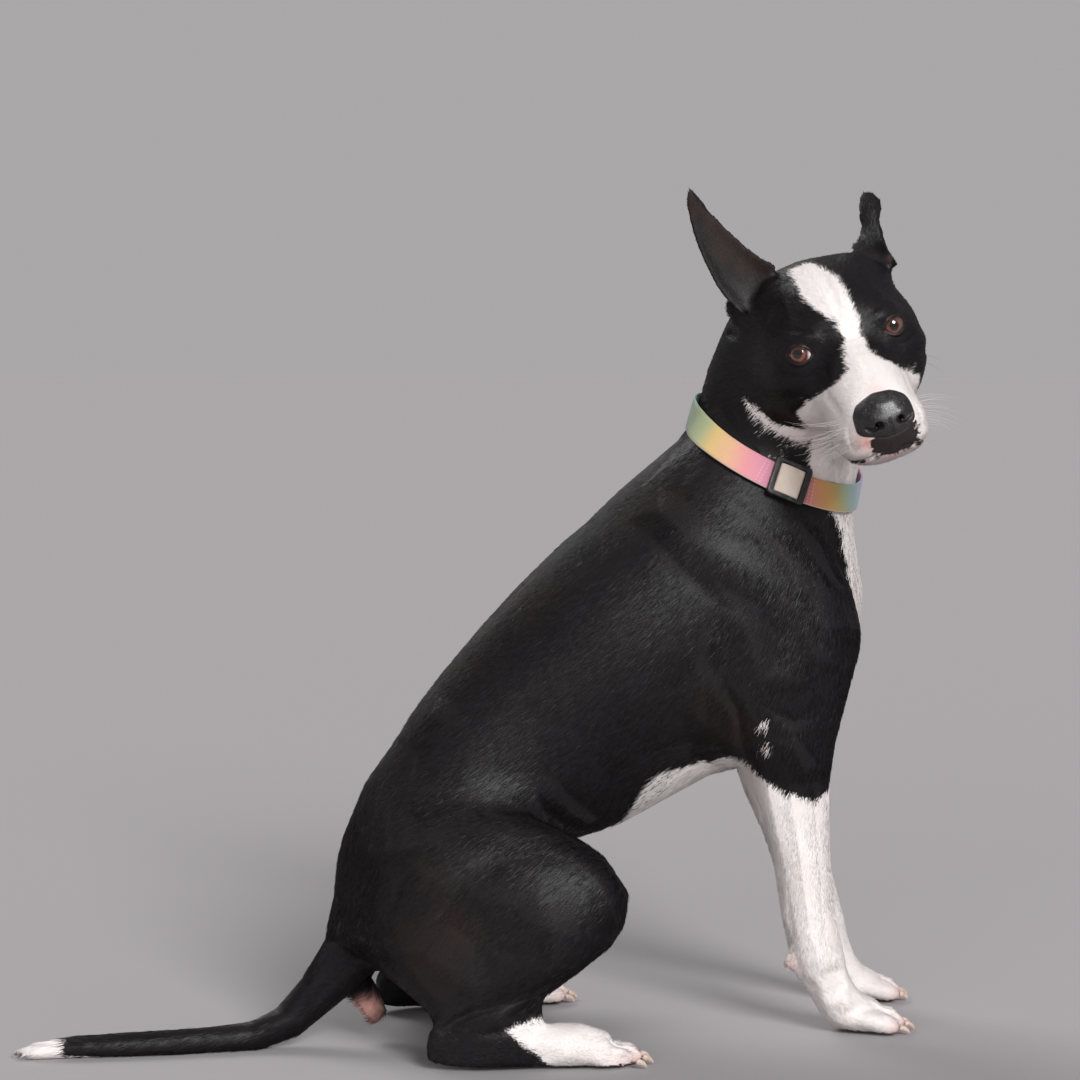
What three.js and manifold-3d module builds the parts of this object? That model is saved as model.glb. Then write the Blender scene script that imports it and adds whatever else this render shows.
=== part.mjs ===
// A seated, short-coated dog at life size, in millimetres and degrees.
// +X is the way the trunk faces, +Y the dog's left and +Z up. The floor is Z = 0.
// The body is one smooth field of muscle masses, meshed region by region and parted with thin cuts.
import * as THREE from "three";
import { mergeVertices } from "three/addons/utils/BufferGeometryUtils.js";
import Module from "manifold-3d";

const wasm = await Module();
wasm.setup();

// Driving dimensions of the trunk and neck.
const chestDepth = 212;
const chestWidth = 186;
const loinDepth = 158;
const loinWidth = 134;
const rumpWidth = 138;
const neckDepth = 150;
const neckWidth = 128;

// Driving dimensions of the limbs and tail.
const forearmWidth = 54;
const pawWidth = 62;
const hindPawWidth = 56;
const toesPerPaw = 4;
const tailRootRadius = 27;
const tailTipRadius = 7;

// Driving dimensions of the head, in its own frame.
const eyeSpan = 78; // between the centres of the two eyeballs
const eyeRadius = 11;
const cheekWidth = 142;
const muzzleLength = 87; // from the line of the eyes to the front of the nose
const muzzleWidth = 68;
const headTurn = -96; // about Z: the head looks out to the dog's right
const headNod = 13.7; // nose down
const headTilt = 18; // left side up

// Collar and joints between pieces.
const strapWidth = 25;
const strapThickness = 2.4;
const gap = 0.4; // left between two pieces that meet
const floorLevel = 2.2; // where the feet and the tail are cut flat, to rest on the floor

const point = (x, y, z) => new THREE.Vector3(x, y, z);
const sides = { right: -1, left: 1 };

// The head's frame: origin midway between the eyes, +X to the nose, +Y left, +Z to the crown.
const headPlace = point(220, -140, 603);
const headFrame = new THREE.Matrix4().makeRotationFromEuler(
  new THREE.Euler(
    THREE.MathUtils.degToRad(headTilt),
    THREE.MathUtils.degToRad(headNod),
    THREE.MathUtils.degToRad(headTurn),
    "ZYX",
  ),
);
headFrame.setPosition(headPlace);
const headFrameInverse = headFrame.clone().invert();

// ---- Fields: about millimetres from a surface, negative inside ----

// A limb or trunk through stations [x, y, z, depth radius, width radius]; the width lies along `across`.
function limb(stations, across = point(0, 1, 0), smoothness = 4) {
  const path = new THREE.CatmullRomCurve3(stations.map((s) => point(s[0], s[1], s[2])));
  const girth = new THREE.CatmullRomCurve3(stations.map((s) => point(s[3], s[4] ?? s[3], 0)));
  const steps = (stations.length - 1) * smoothness;
  const rings = Array.from({ length: steps + 1 }, (_, i) => ({
    at: path.getPoint(i / steps),
    girth: girth.getPoint(i / steps),
  }));
  const side = across.clone().normalize();
  const spans = rings.slice(1).map((ring, i) => {
    const along = ring.at.clone().sub(rings[i].at);
    return { from: rings[i], to: ring, along, lengthSq: Math.max(along.lengthSq(), 1e-9) };
  });
  const offset = new THREE.Vector3();
  const reach = new THREE.Box3().setFromPoints(rings.map((ring) => ring.at));
  reach.expandByScalar(Math.max(...rings.map((ring) => Math.max(ring.girth.x, ring.girth.y))));
  return (p) => {
    let nearest = reach.distanceToPoint(p); // exact enough where other masses are nearer
    if (nearest > 50) return nearest;
    nearest = Infinity;
    for (const span of spans) {
      offset.subVectors(p, span.from.at);
      const t = Math.min(1, Math.max(0, offset.dot(span.along) / span.lengthSq));
      offset.addScaledVector(span.along, -t);
      const depth = span.from.girth.x + t * (span.to.girth.x - span.from.girth.x);
      const width = span.from.girth.y + t * (span.to.girth.y - span.from.girth.y);
      const sideways = offset.dot(side);
      const restSq = Math.max(0, offset.lengthSq() - sideways * sideways);
      const near = Math.sqrt(restSq / depth ** 2 + (sideways / width) ** 2);
      const slope = Math.sqrt(restSq / depth ** 4 + (sideways / width ** 2) ** 2);
      const distance = slope < 1e-9 ? -Math.min(depth, width) : (near * (near - 1)) / slope;
      if (distance < nearest) nearest = distance;
    }
    return nearest;
  };
}

// An ellipsoid, turned by degrees about X, Y and Z.
function mass(at, radii, turn = [0, 0, 0]) {
  const angles = turn.map(THREE.MathUtils.degToRad);
  const unturn = new THREE.Matrix4()
    .makeRotationFromEuler(new THREE.Euler(angles[0], angles[1], angles[2], "ZYX"))
    .transpose();
  const q = new THREE.Vector3();
  return (p) => {
    q.set(p.x - at[0], p.y - at[1], p.z - at[2]).applyMatrix4(unturn);
    const near = Math.hypot(q.x / radii[0], q.y / radii[1], q.z / radii[2]);
    const slope = Math.hypot(q.x / radii[0] ** 2, q.y / radii[1] ** 2, q.z / radii[2] ** 2);
    return slope < 1e-9 ? -Math.min(...radii) : (near * (near - 1)) / slope;
  };
}

// Two distances joined with a fillet about `fillet` wide.
function softMin(a, b, fillet) {
  const h = Math.max(fillet - Math.abs(a - b), 0) / fillet;
  return Math.min(a, b) - h * h * fillet * 0.25;
}

const join = (fillet, ...fields) => (p) =>
  fields.reduce((d, field) => softMin(d, field(p), fillet), Infinity);

const inHead = (field) => {
  const q = new THREE.Vector3();
  return (p) => field(q.copy(p).applyMatrix4(headFrameInverse));
};

// ---- Trunk, neck and shoulders ----

function trunkField() {
  const trunk = limb([
    [-112, 0, 108, 69, rumpWidth / 2],
    [-100, 0, 162, 82, rumpWidth / 2],
    [-49, 0, 232, loinDepth / 2 + 10, loinWidth / 2],
    [18, 0, 294, 101, 77],
    [86, 0, 342, chestDepth / 2 + 8, chestWidth / 2],
    [132, 0, 376, 116, 88],
    [164, 0, 408, 104, 80],
  ]);
  const forechest = mass([212, 0, 366], [72, 64, 86], [0, 20, 0]);
  const keel = limb([
    [54, 0, 214, 34, 40],
    [120, 0, 254, 38, 44],
    [190, 0, 296, 48, 50],
  ]);
  const scrotum = mass([-166, 0, 42], [22, 20, 20]);
  return join(30, trunk, forechest, keel, scrotum);
}

function neckField() {
  const across = point(0.25, 0.93, 0.28); // the neck's width turns as it bends to the right
  return limb(
    [
      [158, 0, 420, 100, 76],
      [184, -1, 462, 85, 70],
      [205, -4, 507, neckDepth / 2, neckWidth / 2],
      [210, -15, 548, 76, 62],
      [214, -34, 590, 70, 59],
    ],
    across,
  );
}

// Muscle masses that show on one side of the trunk.
function shoulderField(side, forward) {
  const blade = limb([
    [104, side * 56, 424, 34, 24],
    [150, side * 70, 402, 48, 24],
    [212 + forward / 2, side * 72, 352, 48, 28],
  ]);
  const arm = limb([
    [222 + forward / 2, side * 70, 338, 38, 29],
    [210 + forward, side * 67, 296, 40, 31],
    [200 + forward, side * 63, 256, 38, 30],
  ]);
  const triceps = mass([168 + forward, side * 70, 304], [40, 27, 54], [0, 24, 0]);
  return join(18, blade, arm, triceps);
}

// ---- Forelegs ----

// Stations down each foreleg; the left foot stands a little ahead of the right.
const forelegs = {
  right: {
    side: -1,
    forward: 0,
    stations: [
      [199, -61, 248, 38, 29],
      [204, -60, 216, 34, 26],
      [211, -58, 163, 27, forearmWidth / 2 - 3],
      [218, -57, 110, 25, forearmWidth / 2 - 4],
      [226, -57, 76, 23.5, 24],
      [235, -57, 50, 20.5, 23],
      [247, -57, 28, 18, 25],
    ],
    paw: { at: [266, -57, 16], turn: -8 },
  },
  left: {
    side: 1,
    forward: 8,
    stations: [
      [218, 63, 250, 38, 29],
      [226, 62, 216, 34, 26],
      [243, 61, 163, 27, forearmWidth / 2 - 3],
      [260, 61, 110, 25, forearmWidth / 2 - 4],
      [270, 61, 76, 23.5, 24],
      [279, 61, 50, 20.5, 23],
      [290, 61, 28, 18, 25],
    ],
    paw: { at: [307, 61, 16], turn: 7 },
  },
};

function forelegField({ stations, paw }) {
  const [elbow, carpus] = [stations[0], stations[4]];
  const forearm = limb(stations);
  const elbowPoint = mass([elbow[0] - 32, elbow[1], elbow[2] + 6], [13, 12, 20]);
  const carpalPad = mass([carpus[0] - 22, carpus[1], carpus[2] - 12], [9, 8.5, 9.5]);
  const sole = mass(paw.at, [27, pawWidth / 2 - 4, 17], [0, 4, paw.turn]);
  return join(12, forearm, elbowPoint, carpalPad, sole);
}

// ---- Hind legs, as on the left side ----

function thighField(side) {
  const at = (x, y, z) => [x, y * side, z];
  const bone = limb([
    [...at(-118, 56, 156), 52, 42],
    [...at(-72, 84, 154), 56, 42],
    [...at(-26, 109, 152), 51, 36],
    [...at(-4, 118, 150), 45, 31],
  ]);
  const hamstring = limb([
    [...at(-136, 54, 118), 44, 38],
    [...at(-112, 84, 88), 42, 34],
    [...at(-86, 104, 66), 32, 28],
  ]);
  return join(20, bone, hamstring);
}

function shankField(side) {
  const at = (x, y, z) => [x, y * side, z];
  const shin = limb([
    [...at(-2, 119, 128), 40, 30],
    [...at(-24, 119, 105), 34, 29],
    [...at(-50, 118, 82), 27, 25],
    [...at(-78, 117, 54), 19.5, 19],
    [...at(-106, 117, 34), 18, 17],
  ]);
  const heel = mass(at(-120, 117, 24), [16, 14, 19], [0, -24, 0]);
  const metatarsus = limb([
    [...at(-114, 117, 19), 18.5, 17],
    [...at(-72, 118, 19), 18.5, 18],
    [...at(-30, 120, 19.5), 19.5, 20],
    [...at(0, 122, 19), 19, 23],
    [...at(18, 124, 16), 15, 23],
  ]);
  return join(10, shin, heel, metatarsus);
}

// ---- Tail ----

const tailStations = [
  [-148, 0, 112, 38, 32],
  [-174, 0, 82, tailRootRadius, 23],
  [-200, 0, 50, 20, 19],
  [-225, 0, 26, 16, 15],
  [-254, 0, 14, 14, 13],
  [-300, 0, 11.5, 12.5, 12],
  [-350, 2, 11, 12, 12],
  [-400, 6, 10.5, 11.5, 11.5],
  [-436, 10, 9, 9.5, 9.5],
  [-458, 13, tailTipRadius, 5, 5],
];

// ---- Head, in its own frame ----

const eyePlace = (side) => [-2, (side * eyeSpan) / 2, 0];

function headField() {
  const cranium = mass([-60, 0, 8], [60, 52, 43], [0, 6, 0]);
  const crown = mass([-66, 0, 27], [50, 42, 22], [0, 4, 0]);
  const forehead = mass([-24, 0, 13], [32, 38, 26], [0, 24, 0]);
  const occiput = mass([-104, 0, 10], [28, 40, 34]);
  const bridge = limb([
    [0, 0, -8, 17, 21],
    [36, 0, -26, 20, 24],
    [muzzleLength - 16, 0, -43, 18, 22],
  ]);
  const muzzle = limb([
    [-20, 0, -36, 36, 46],
    [20, 0, -44, 35, 40],
    [54, 0, -50, 31, muzzleWidth / 2],
    [muzzleLength - 17, 0, -54, 27, muzzleWidth / 2 - 4],
  ]);
  const jaw = limb([
    [-60, 0, -54, 26, 42],
    [-10, 0, -64, 22, 36],
    [40, 0, -76, 14, 26],
    [muzzleLength - 22, 0, -79, 11, 18],
  ]);
  const nosePad = mass([muzzleLength - 12, 0, -42], [13, 21, 15], [0, 16, 0]);
  const paired = (side) => join(
    12,
    mass([-46, side * 45, -18], [42, cheekWidth / 2 - 45, 38], [0, 12, 0]), // cheek
    mass([-34, side * 41, -38], [38, 24, 36], [0, 20, 0]), // jaw muscle
    mass([-70, side * 36, 16], [38, 22, 30]), // temple
    mass([-7, side * 33, 11], [16, 16, 11], [side * -20, 14, side * 12]), // brow
    mass([-14, side * 37, -2], [18, 18, 16]), // round the eye
    mass([-12, side * 46, -16], [24, 13, 13], [0, 10, side * -22]), // cheekbone
    mass([-80, side * 48, 34], [20, 18, 18]), // root of the ear
  );
  const flew = (side) => mass([53, side * 23, -65], [34, 15, 24], [side * 8, 4, side * -7]);
  const middle = join(16, cranium, crown, forehead, occiput, bridge, muzzle, jaw);
  const masses = join(14, middle, paired(-1), paired(1));
  return join(6, join(8, masses, flew(-1), flew(1)), nosePad);
}

// ---- The whole body as one field ----

function bodyField() {
  const shoulders = Object.values(forelegs).map((leg) => shoulderField(leg.side, leg.forward));
  const withShoulders = join(24, trunkField(), neckField(), ...shoulders);
  const withThighs = join(26, withShoulders, thighField(-1), thighField(1));
  const withTail = join(22, withThighs, limb(tailStations));
  const withHead = join(20, withTail, inHead(headField()));
  const withForelegs = join(12, withHead, ...Object.values(forelegs).map(forelegField));
  return join(8, withForelegs, shankField(-1), shankField(1));
}

const body = bodyField();

// ---- Meshing ----

// The closed surface of a field inside a box, with faces about `step` long.
function surface(field, low, high, step) {
  const count = low.map((a, i) => Math.ceil((high[i] - a) / step) + 1);
  const p = new THREE.Vector3();
  const closed = (q) => {
    const out = Math.max(
      low[0] + step - q.x, q.x - high[0] + step,
      low[1] + step - q.y, q.y - high[1] + step,
      low[2] + step - q.z, q.z - high[2] + step,
    );
    return Math.max(field(q), out);
  };
  const index = (i, j, k) => i + count[0] * (j + count[1] * k);
  const values = new Float32Array(count[0] * count[1] * count[2]);
  for (let k = 0; k < count[2]; k++)
    for (let j = 0; j < count[1]; j++)
      for (let i = 0; i < count[0]; i++)
        values[index(i, j, k)] = closed(p.set(low[0] + i * step, low[1] + j * step, low[2] + k * step));

  // Flesh that would meet only along an edge of the grid is joined there.
  const strides = [1, count[0], count[0] * count[1]];
  const faces = [[strides[0], strides[1]], [strides[1], strides[2]], [strides[2], strides[0]]];
  for (let pass = 0; pass < 3; pass++)
    for (let at = 0; at < values.length - strides[2] - strides[1]; at++)
      for (const [b, c] of faces) {
        const ring = [at, at + b, at + b + c, at + c];
        const [first, second, third, fourth] = ring.map((i) => values[i] < 0);
        if (first !== third || second !== fourth || first === second) continue;
        const outside = first ? [ring[1], ring[3]] : [ring[0], ring[2]];
        const nearest = values[outside[0]] < values[outside[1]] ? outside[0] : outside[1];
        values[nearest] = -0.01 * step;
      }

  // One vertex in each cell that the surface crosses, at the mean of its edge crossings.
  const cellVertex = new Map();
  const vertices = [];
  const corners = [0, 1, 2, 3, 4, 5, 6, 7].map((c) => [c & 1, (c >> 1) & 1, (c >> 2) & 1]);
  for (let k = 0; k < count[2] - 1; k++)
    for (let j = 0; j < count[1] - 1; j++)
      for (let i = 0; i < count[0] - 1; i++) {
        const sum = new THREE.Vector3();
        let crossings = 0;
        for (let a = 0; a < 8; a++)
          for (const axis of [1, 2, 4]) {
            if (a & axis) continue;
            const [c, d] = [corners[a], corners[a | axis]];
            const [u, v] = [c, d].map((e) => values[index(i + e[0], j + e[1], k + e[2])]);
            if (u < 0 === v < 0) continue;
            const t = u / (u - v);
            sum.add(point(...[0, 1, 2].map((n) => c[n] + t * (d[n] - c[n]))));
            crossings++;
          }
        if (!crossings) continue;
        sum.divideScalar(crossings).add(point(i, j, k)).multiplyScalar(step).add(point(...low));
        cellVertex.set(index(i, j, k), vertices.length);
        vertices.push(sum);
      }

  // One quad round each grid edge that the surface crosses.
  const quads = [];
  for (let k = 1; k < count[2] - 1; k++)
    for (let j = 1; j < count[1] - 1; j++)
      for (let i = 1; i < count[0] - 1; i++)
        for (let axis = 0; axis < 3; axis++) {
          const here = index(i, j, k);
          const inside = values[here] < 0;
          if (inside === values[here + strides[axis]] < 0) continue;
          const [b, c] = [strides[(axis + 1) % 3], strides[(axis + 2) % 3]];
          const ring = [here - b - c, here - c, here, here - b].map((cell) => cellVertex.get(cell));
          quads.push(inside ? ring : ring.reverse());
        }

  settle(vertices, quads, closed, step);
  return { vertices, quads };
}

// Evens out the faces, and puts every vertex back on the surface.
function settle(vertices, quads, field, step) {
  const slope = (p, h = 0.5) => point(
    field(point(p.x + h, p.y, p.z)) - field(point(p.x - h, p.y, p.z)),
    field(point(p.x, p.y + h, p.z)) - field(point(p.x, p.y - h, p.z)),
    field(point(p.x, p.y, p.z + h)) - field(point(p.x, p.y, p.z - h)),
  ).divideScalar(2 * h);
  for (let round = 0; round < 3; round++) {
    const sums = vertices.map(() => ({ at: new THREE.Vector3(), n: 0 }));
    for (const quad of quads)
      quad.forEach((v, i) => {
        sums[v].at.add(vertices[quad[(i + 1) % 4]]);
        sums[v].n++;
      });
    vertices.forEach((p, i) => {
      if (sums[i].n) p.lerp(sums[i].at.divideScalar(sums[i].n), 0.4);
      const g = slope(p);
      const move = field(p) / Math.max(g.lengthSq(), 0.25);
      p.addScaledVector(g, -Math.max(-step / 2, Math.min(step / 2, move)));
    });
  }
}

// Faces of a closed mesh as a solid that can be cut and joined.
function solidFrom(vertices, triangles) {
  return new wasm.Manifold(new wasm.Mesh({
    numProp: 3,
    vertProperties: Float32Array.from(vertices.flatMap((p) => [p.x, p.y, p.z])),
    triVerts: Uint32Array.from(triangles),
  }));
}

function fieldSolid(field, low, high, step) {
  const { vertices, quads } = surface(field, low, high, step);
  const triangles = quads.flatMap(([a, b, c, d]) => {
    const shortWay = vertices[a].distanceTo(vertices[c]) < vertices[b].distanceTo(vertices[d]);
    return shortWay ? [a, b, c, a, c, d] : [a, b, d, b, c, d];
  });
  return solidFrom(vertices, triangles);
}

function geometrySolid(geometry) {
  const bare = geometry.clone();
  bare.deleteAttribute("normal");
  bare.deleteAttribute("uv");
  const merged = mergeVertices(bare, 1e-4);
  return new wasm.Manifold(new wasm.Mesh({
    numProp: 3,
    vertProperties: merged.attributes.position.array,
    triVerts: Uint32Array.from(merged.index.array),
  }));
}

// A closed skin through rings of points, each ring listed the same way round.
function loft(rings) {
  const n = rings[0].length;
  const vertices = rings.flat();
  const triangles = [];
  for (let r = 0; r < rings.length - 1; r++)
    for (let i = 0; i < n; i++) {
      const [a, b] = [r * n + i, r * n + ((i + 1) % n)];
      triangles.push(a, b, b + n, a, b + n, a + n);
    }
  const capCentre = (ring) => ring.reduce((s, p) => s.add(p), point(0, 0, 0)).divideScalar(n);
  const first = vertices.push(capCentre(rings[0])) - 1;
  const last = vertices.push(capCentre(rings.at(-1))) - 1;
  const end = (rings.length - 1) * n;
  for (let i = 0; i < n; i++) {
    triangles.push(first, (i + 1) % n, i);
    triangles.push(last, end + i, end + ((i + 1) % n));
  }
  const solid = solidFrom(vertices, triangles);
  return solid.volume() < 0 ? solidFrom(vertices, triangles.reverse()) : solid;
}

// ---- Cutting ----

// Keeps the side of a plane that its normal points to, half a gap clear of it.
const keepBeyond = (solid, plane) =>
  solid.trimByPlane(plane.normal.toArray(), plane.normal.dot(plane.at) + gap / 2);
const flipped = (plane) => ({ at: plane.at, normal: plane.normal.clone().negate() });
const plane = (at, normal) => ({ at: point(...at), normal: point(...normal).normalize() });
const intoBody = (cut) => ({
  at: cut.at.clone().applyMatrix4(headFrame),
  normal: cut.normal.clone().transformDirection(headFrame),
});

// A straight-sided block over an outline in the X-Z plane, from y = low to y = high.
function block(outline, low, high) {
  const shape = new THREE.Shape(outline.map(([x, z]) => new THREE.Vector2(x, z)));
  const geometry = new THREE.ExtrudeGeometry(shape, { depth: high - low, bevelEnabled: false });
  geometry.rotateX(Math.PI / 2).translate(0, high, 0);
  return geometrySolid(geometry);
}

// The largest body of a solid, so that slivers left by a cut are dropped.
function largest(solid) {
  return solid.decompose().reduce((a, b) => (a.volume() > b.volume() ? a : b));
}

// ---- Pieces ----

const dog = new THREE.Group();
const head = new THREE.Group();
head.applyMatrix4(headFrame);
dog.add(head);

const finish = (color, roughness, metalness = 0) =>
  new THREE.MeshStandardMaterial({ color, roughness, metalness });
const finishes = {
  black: finish(0x0d0c0e, 0.42),
  white: finish(0xe9e2df, 0.7),
  nose: finish(0x121013, 0.35),
  eye: finish(0x6b2f12, 0.08),
  claw: finish(0xb9a08f, 0.45),
  webbing: finish(0xdd9aa4, 0.75),
  plastic: finish(0x2c2b2d, 0.5),
  steel: finish(0xa9abad, 0.3, 1),
};

// Draws together the ends of edges too short to matter, which cuts leave behind.
function withoutSlivers(points, triangles, shortest = 0.06) {
  const stands = points.map((_, i) => i);
  const root = (i) => (stands[i] === i ? i : (stands[i] = root(stands[i])));
  for (let t = 0; t < triangles.length; t += 3)
    for (let k = 0; k < 3; k++) {
      const [a, b] = [root(triangles[t + k]), root(triangles[t + ((k + 1) % 3)])];
      if (a !== b && points[a].distanceTo(points[b]) < shortest) stands[b] = a;
    }
  const kept = new Map(); // two faces left back to back cancel out
  for (let t = 0; t < triangles.length; t += 3) {
    const face = [0, 1, 2].map((k) => root(triangles[t + k]));
    if (new Set(face).size < 3) continue;
    const key = face.toSorted((a, b) => a - b).join();
    if (!kept.delete(key)) kept.set(key, face);
  }
  return [...kept.values()].flat();
}

function addPiece(parent, name, solid, material) {
  const { vertProperties, triVerts, numProp } = largest(solid).getMesh();
  const points = Array.from({ length: vertProperties.length / numProp }, (_, i) =>
    point(...vertProperties.subarray(i * numProp, i * numProp + 3)));
  const geometry = new THREE.BufferGeometry().setFromPoints(points);
  geometry.setIndex(withoutSlivers(points, triVerts));
  const mesh = new THREE.Mesh(geometry, material);
  mesh.name = name;
  parent.add(mesh);
}

// Planes between pieces; those of the head are in the head's frame.
const cuts = {
  neckBase: plane([176, 0, 446], [0.42, 0, 0.9]),
  chestLoin: plane([22, 0, 296], [0.74, 0, 0.67]),
  loinRump: plane([-74, 0, 196], [0.62, 0, 0.78]),
  tailRoot: plane([-172, 0, 86], [-0.62, 0, -0.78]),
  tailMiddle: plane([-262, 0, 14], [-1, 0, 0]),
  tailEnd: plane([-372, 0, 12], [-1, 0, 0]),
  knee: plane([-40, 0, 108], [0.5, 0, -0.86]),
  hock: plane([-100, 0, 40], [0.1, 0, -1]),
  wrist: plane([230, 0, 62], [0.25, 0, -0.97]),
  poll: plane([-70, 0, -50], [0.45, 0.25, 0.86]),
  face: plane([-34, 0, 0], [1, 0, 0]),
  muzzle: plane([16, 0, -30], [1, 0, 0.12]),
};

// Outlines, in X and Z, of the blocks that part the limbs from the trunk.
const outlines = {
  shoulder: [[96, 440], [64, 360], [128, 262], [148, 236], [330, 236], [330, 350], [216, 436]],
  foreleg: [[148, 236], [120, -20], [400, -20], [400, 236]],
  hindleg: [[-240, -20], [-230, 60], [-176, 176], [-96, 208], [20, 212], [90, 190], [90, -20]],
  jaw: [[0, -72], [0, -130], [110, -130], [110, -69]],
  nose: [[81, -16], [77, -30], [82, -58], [120, -58], [120, -16]],
};

// The outline drawn in by `inset`, so that a piece keeps clear of what it was cut from.
function drawnIn(outline, inset) {
  const corners = outline.map(([x, z]) => new THREE.Vector2(x, z));
  const turn = THREE.ShapeUtils.isClockWise(corners) ? 1 : -1;
  return corners.map((corner, i) => {
    const into = corner.clone().sub(corners.at(i - 1)).normalize();
    const out = corners[(i + 1) % corners.length].clone().sub(corner).normalize();
    const inward = new THREE.Vector2(into.y + out.y, -into.x - out.x).normalize();
    const share = inset / Math.max(0.3, inward.dot(new THREE.Vector2(into.y, -into.x)));
    return corner.addScaledVector(inward, turn * share).toArray();
  });
}

// The block of a limb, outboard of y = inner on one side.
function sideBlock(outline, side, inner, inset = 0) {
  const reach = [inner + inset, 280].map((y) => y * side).sort((a, b) => a - b);
  return block(drawnIn(outline, inset), ...reach);
}
// The block of a piece that lies across the middle of the head.
const middleBlock = (outline, half, inset = 0) =>
  block(drawnIn(outline, inset), inset - half, half - inset);

const inner = { shoulder: 44, foreleg: 26, hindleg: 60 };

function trunkMesh(low, high, step) {
  let trunk = keepBeyond(fieldSolid(body, low, high, step), flipped(cuts.neckBase));
  for (const side of Object.values(sides))
    for (const limbName of Object.keys(inner))
      trunk = trunk.subtract(sideBlock(outlines[limbName], side, inner[limbName]));
  return trunk;
}

function addTrunk() {
  const front = trunkMesh([-184, -204, -28], [354, 204, 564], 35);
  addPiece(dog, "chest", keepBeyond(front, cuts.chestLoin), finishes.black);
  const middle = keepBeyond(front, flipped(cuts.chestLoin));
  addPiece(dog, "loin", keepBeyond(middle, cuts.loinRump), finishes.black);
  const rear = keepBeyond(trunkMesh([-270, -110, -26], [90, 110, 300], 28), flipped(cuts.loinRump));
  addPiece(dog, "rump", keepBeyond(rear, flipped(cuts.tailRoot)), finishes.black);
}

function addNeck() {
  const flesh = fieldSolid(body, [44, -196, 330], [380, 132, 722], 25);
  const neck = keepBeyond(keepBeyond(flesh, cuts.neckBase), flipped(intoBody(cuts.poll)));
  addPiece(dog, "neck", neck, finishes.black);
}

function addTail() {
  const tail = rodSolid(tailStations, 9).trimByPlane([0, 0, 1], floorLevel);
  const root = keepBeyond(keepBeyond(tail, cuts.tailRoot), flipped(cuts.tailMiddle));
  addPiece(dog, "tail_root", root, finishes.black);
  const middle = keepBeyond(keepBeyond(tail, cuts.tailMiddle), flipped(cuts.tailEnd));
  addPiece(dog, "tail_middle", middle, finishes.black);
  addPiece(dog, "tail_end", keepBeyond(tail, cuts.tailEnd), finishes.white);
}

// ---- Paws ----

// Rings of points round a bent, tapering rod: stations are [x, y, z, half width, half height].
function rod(stations, sidesRound) {
  return stations.map(([x, y, z, width, height], i) => {
    const before = point(...stations[Math.max(0, i - 1)]);
    const after = point(...stations[Math.min(stations.length - 1, i + 1)]);
    const along = after.sub(before).normalize();
    const across = point(0, 1, 0).addScaledVector(along, -along.y).normalize();
    const up = along.clone().cross(across);
    return Array.from({ length: sidesRound }, (_, k) => {
      const a = (2 * Math.PI * (k + 0.5)) / sidesRound;
      return point(x, y, z)
        .addScaledVector(across, width * Math.cos(a))
        .addScaledVector(up, height * Math.sin(a));
    });
  });
}

// The same stations as a limb has, meshed as a rod.
const rodSolid = (stations, sidesRound) =>
  loft(rod(stations.map(([x, y, z, depth, width]) => [x, y, z, width, depth]), sidesRound));

const pawShapes = {
  fore: { width: pawWidth, reach: 34, knuckle: 25, claw: 9 },
  hind: { width: hindPawWidth, reach: 34, knuckle: 22, claw: 9 },
};

// Toe `i` of a paw and its claw, in the paw's frame.
function toe(shape, i) {
  const across = (i - (toesPerPaw - 1) / 2) / toesPerPaw; // from -3/8 to 3/8
  const isMiddle = Math.abs(across) < 0.2;
  const y = across * shape.width;
  const reach = shape.reach - (isMiddle ? 0 : 8);
  const half = shape.width / toesPerPaw / 2 + 1.2;
  const knuckle = shape.knuckle - (isMiddle ? 0 : 3);
  const flesh = rod([
    [-14, y * 0.7, knuckle - 4, half * 0.8, half * 0.8],
    [reach - 20, y * 0.95, knuckle - 7, half, half],
    [reach - 4, y * 1.03, 10.5, half * 0.96, half],
    [reach + 4, y * 1.05, 9, half * 0.6, half * 0.66],
  ], 6);
  const root = reach + 4 + gap;
  const horn = rod([
    [root, y * 1.05, 9.5, 3, 3.6],
    [root + 6, y * 1.06, 8, 2.3, 2.8],
    [root + shape.claw, y * 1.07, 4.2, 0.8, 1],
  ], 5);
  return { flesh: loft(flesh), horn: loft(horn) };
}

function shapePaw(flesh, kind, [x, y, turn], letter) {
  const set = (solid) => solid.rotate([0, 0, turn]).translate([x, y, 0]);
  const toes = Array.from({ length: toesPerPaw }, (_, i) => toe(pawShapes[kind], i));
  toes.forEach(({ horn }, i) => {
    addPiece(dog, `claw_${kind}_${letter}${i + 1}`, set(horn), finishes.claw);
  });
  return toes
    .reduce((paw, part) => paw.add(set(part.flesh)), flesh)
    .trimByPlane([0, 0, 1], floorLevel);
}

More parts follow.
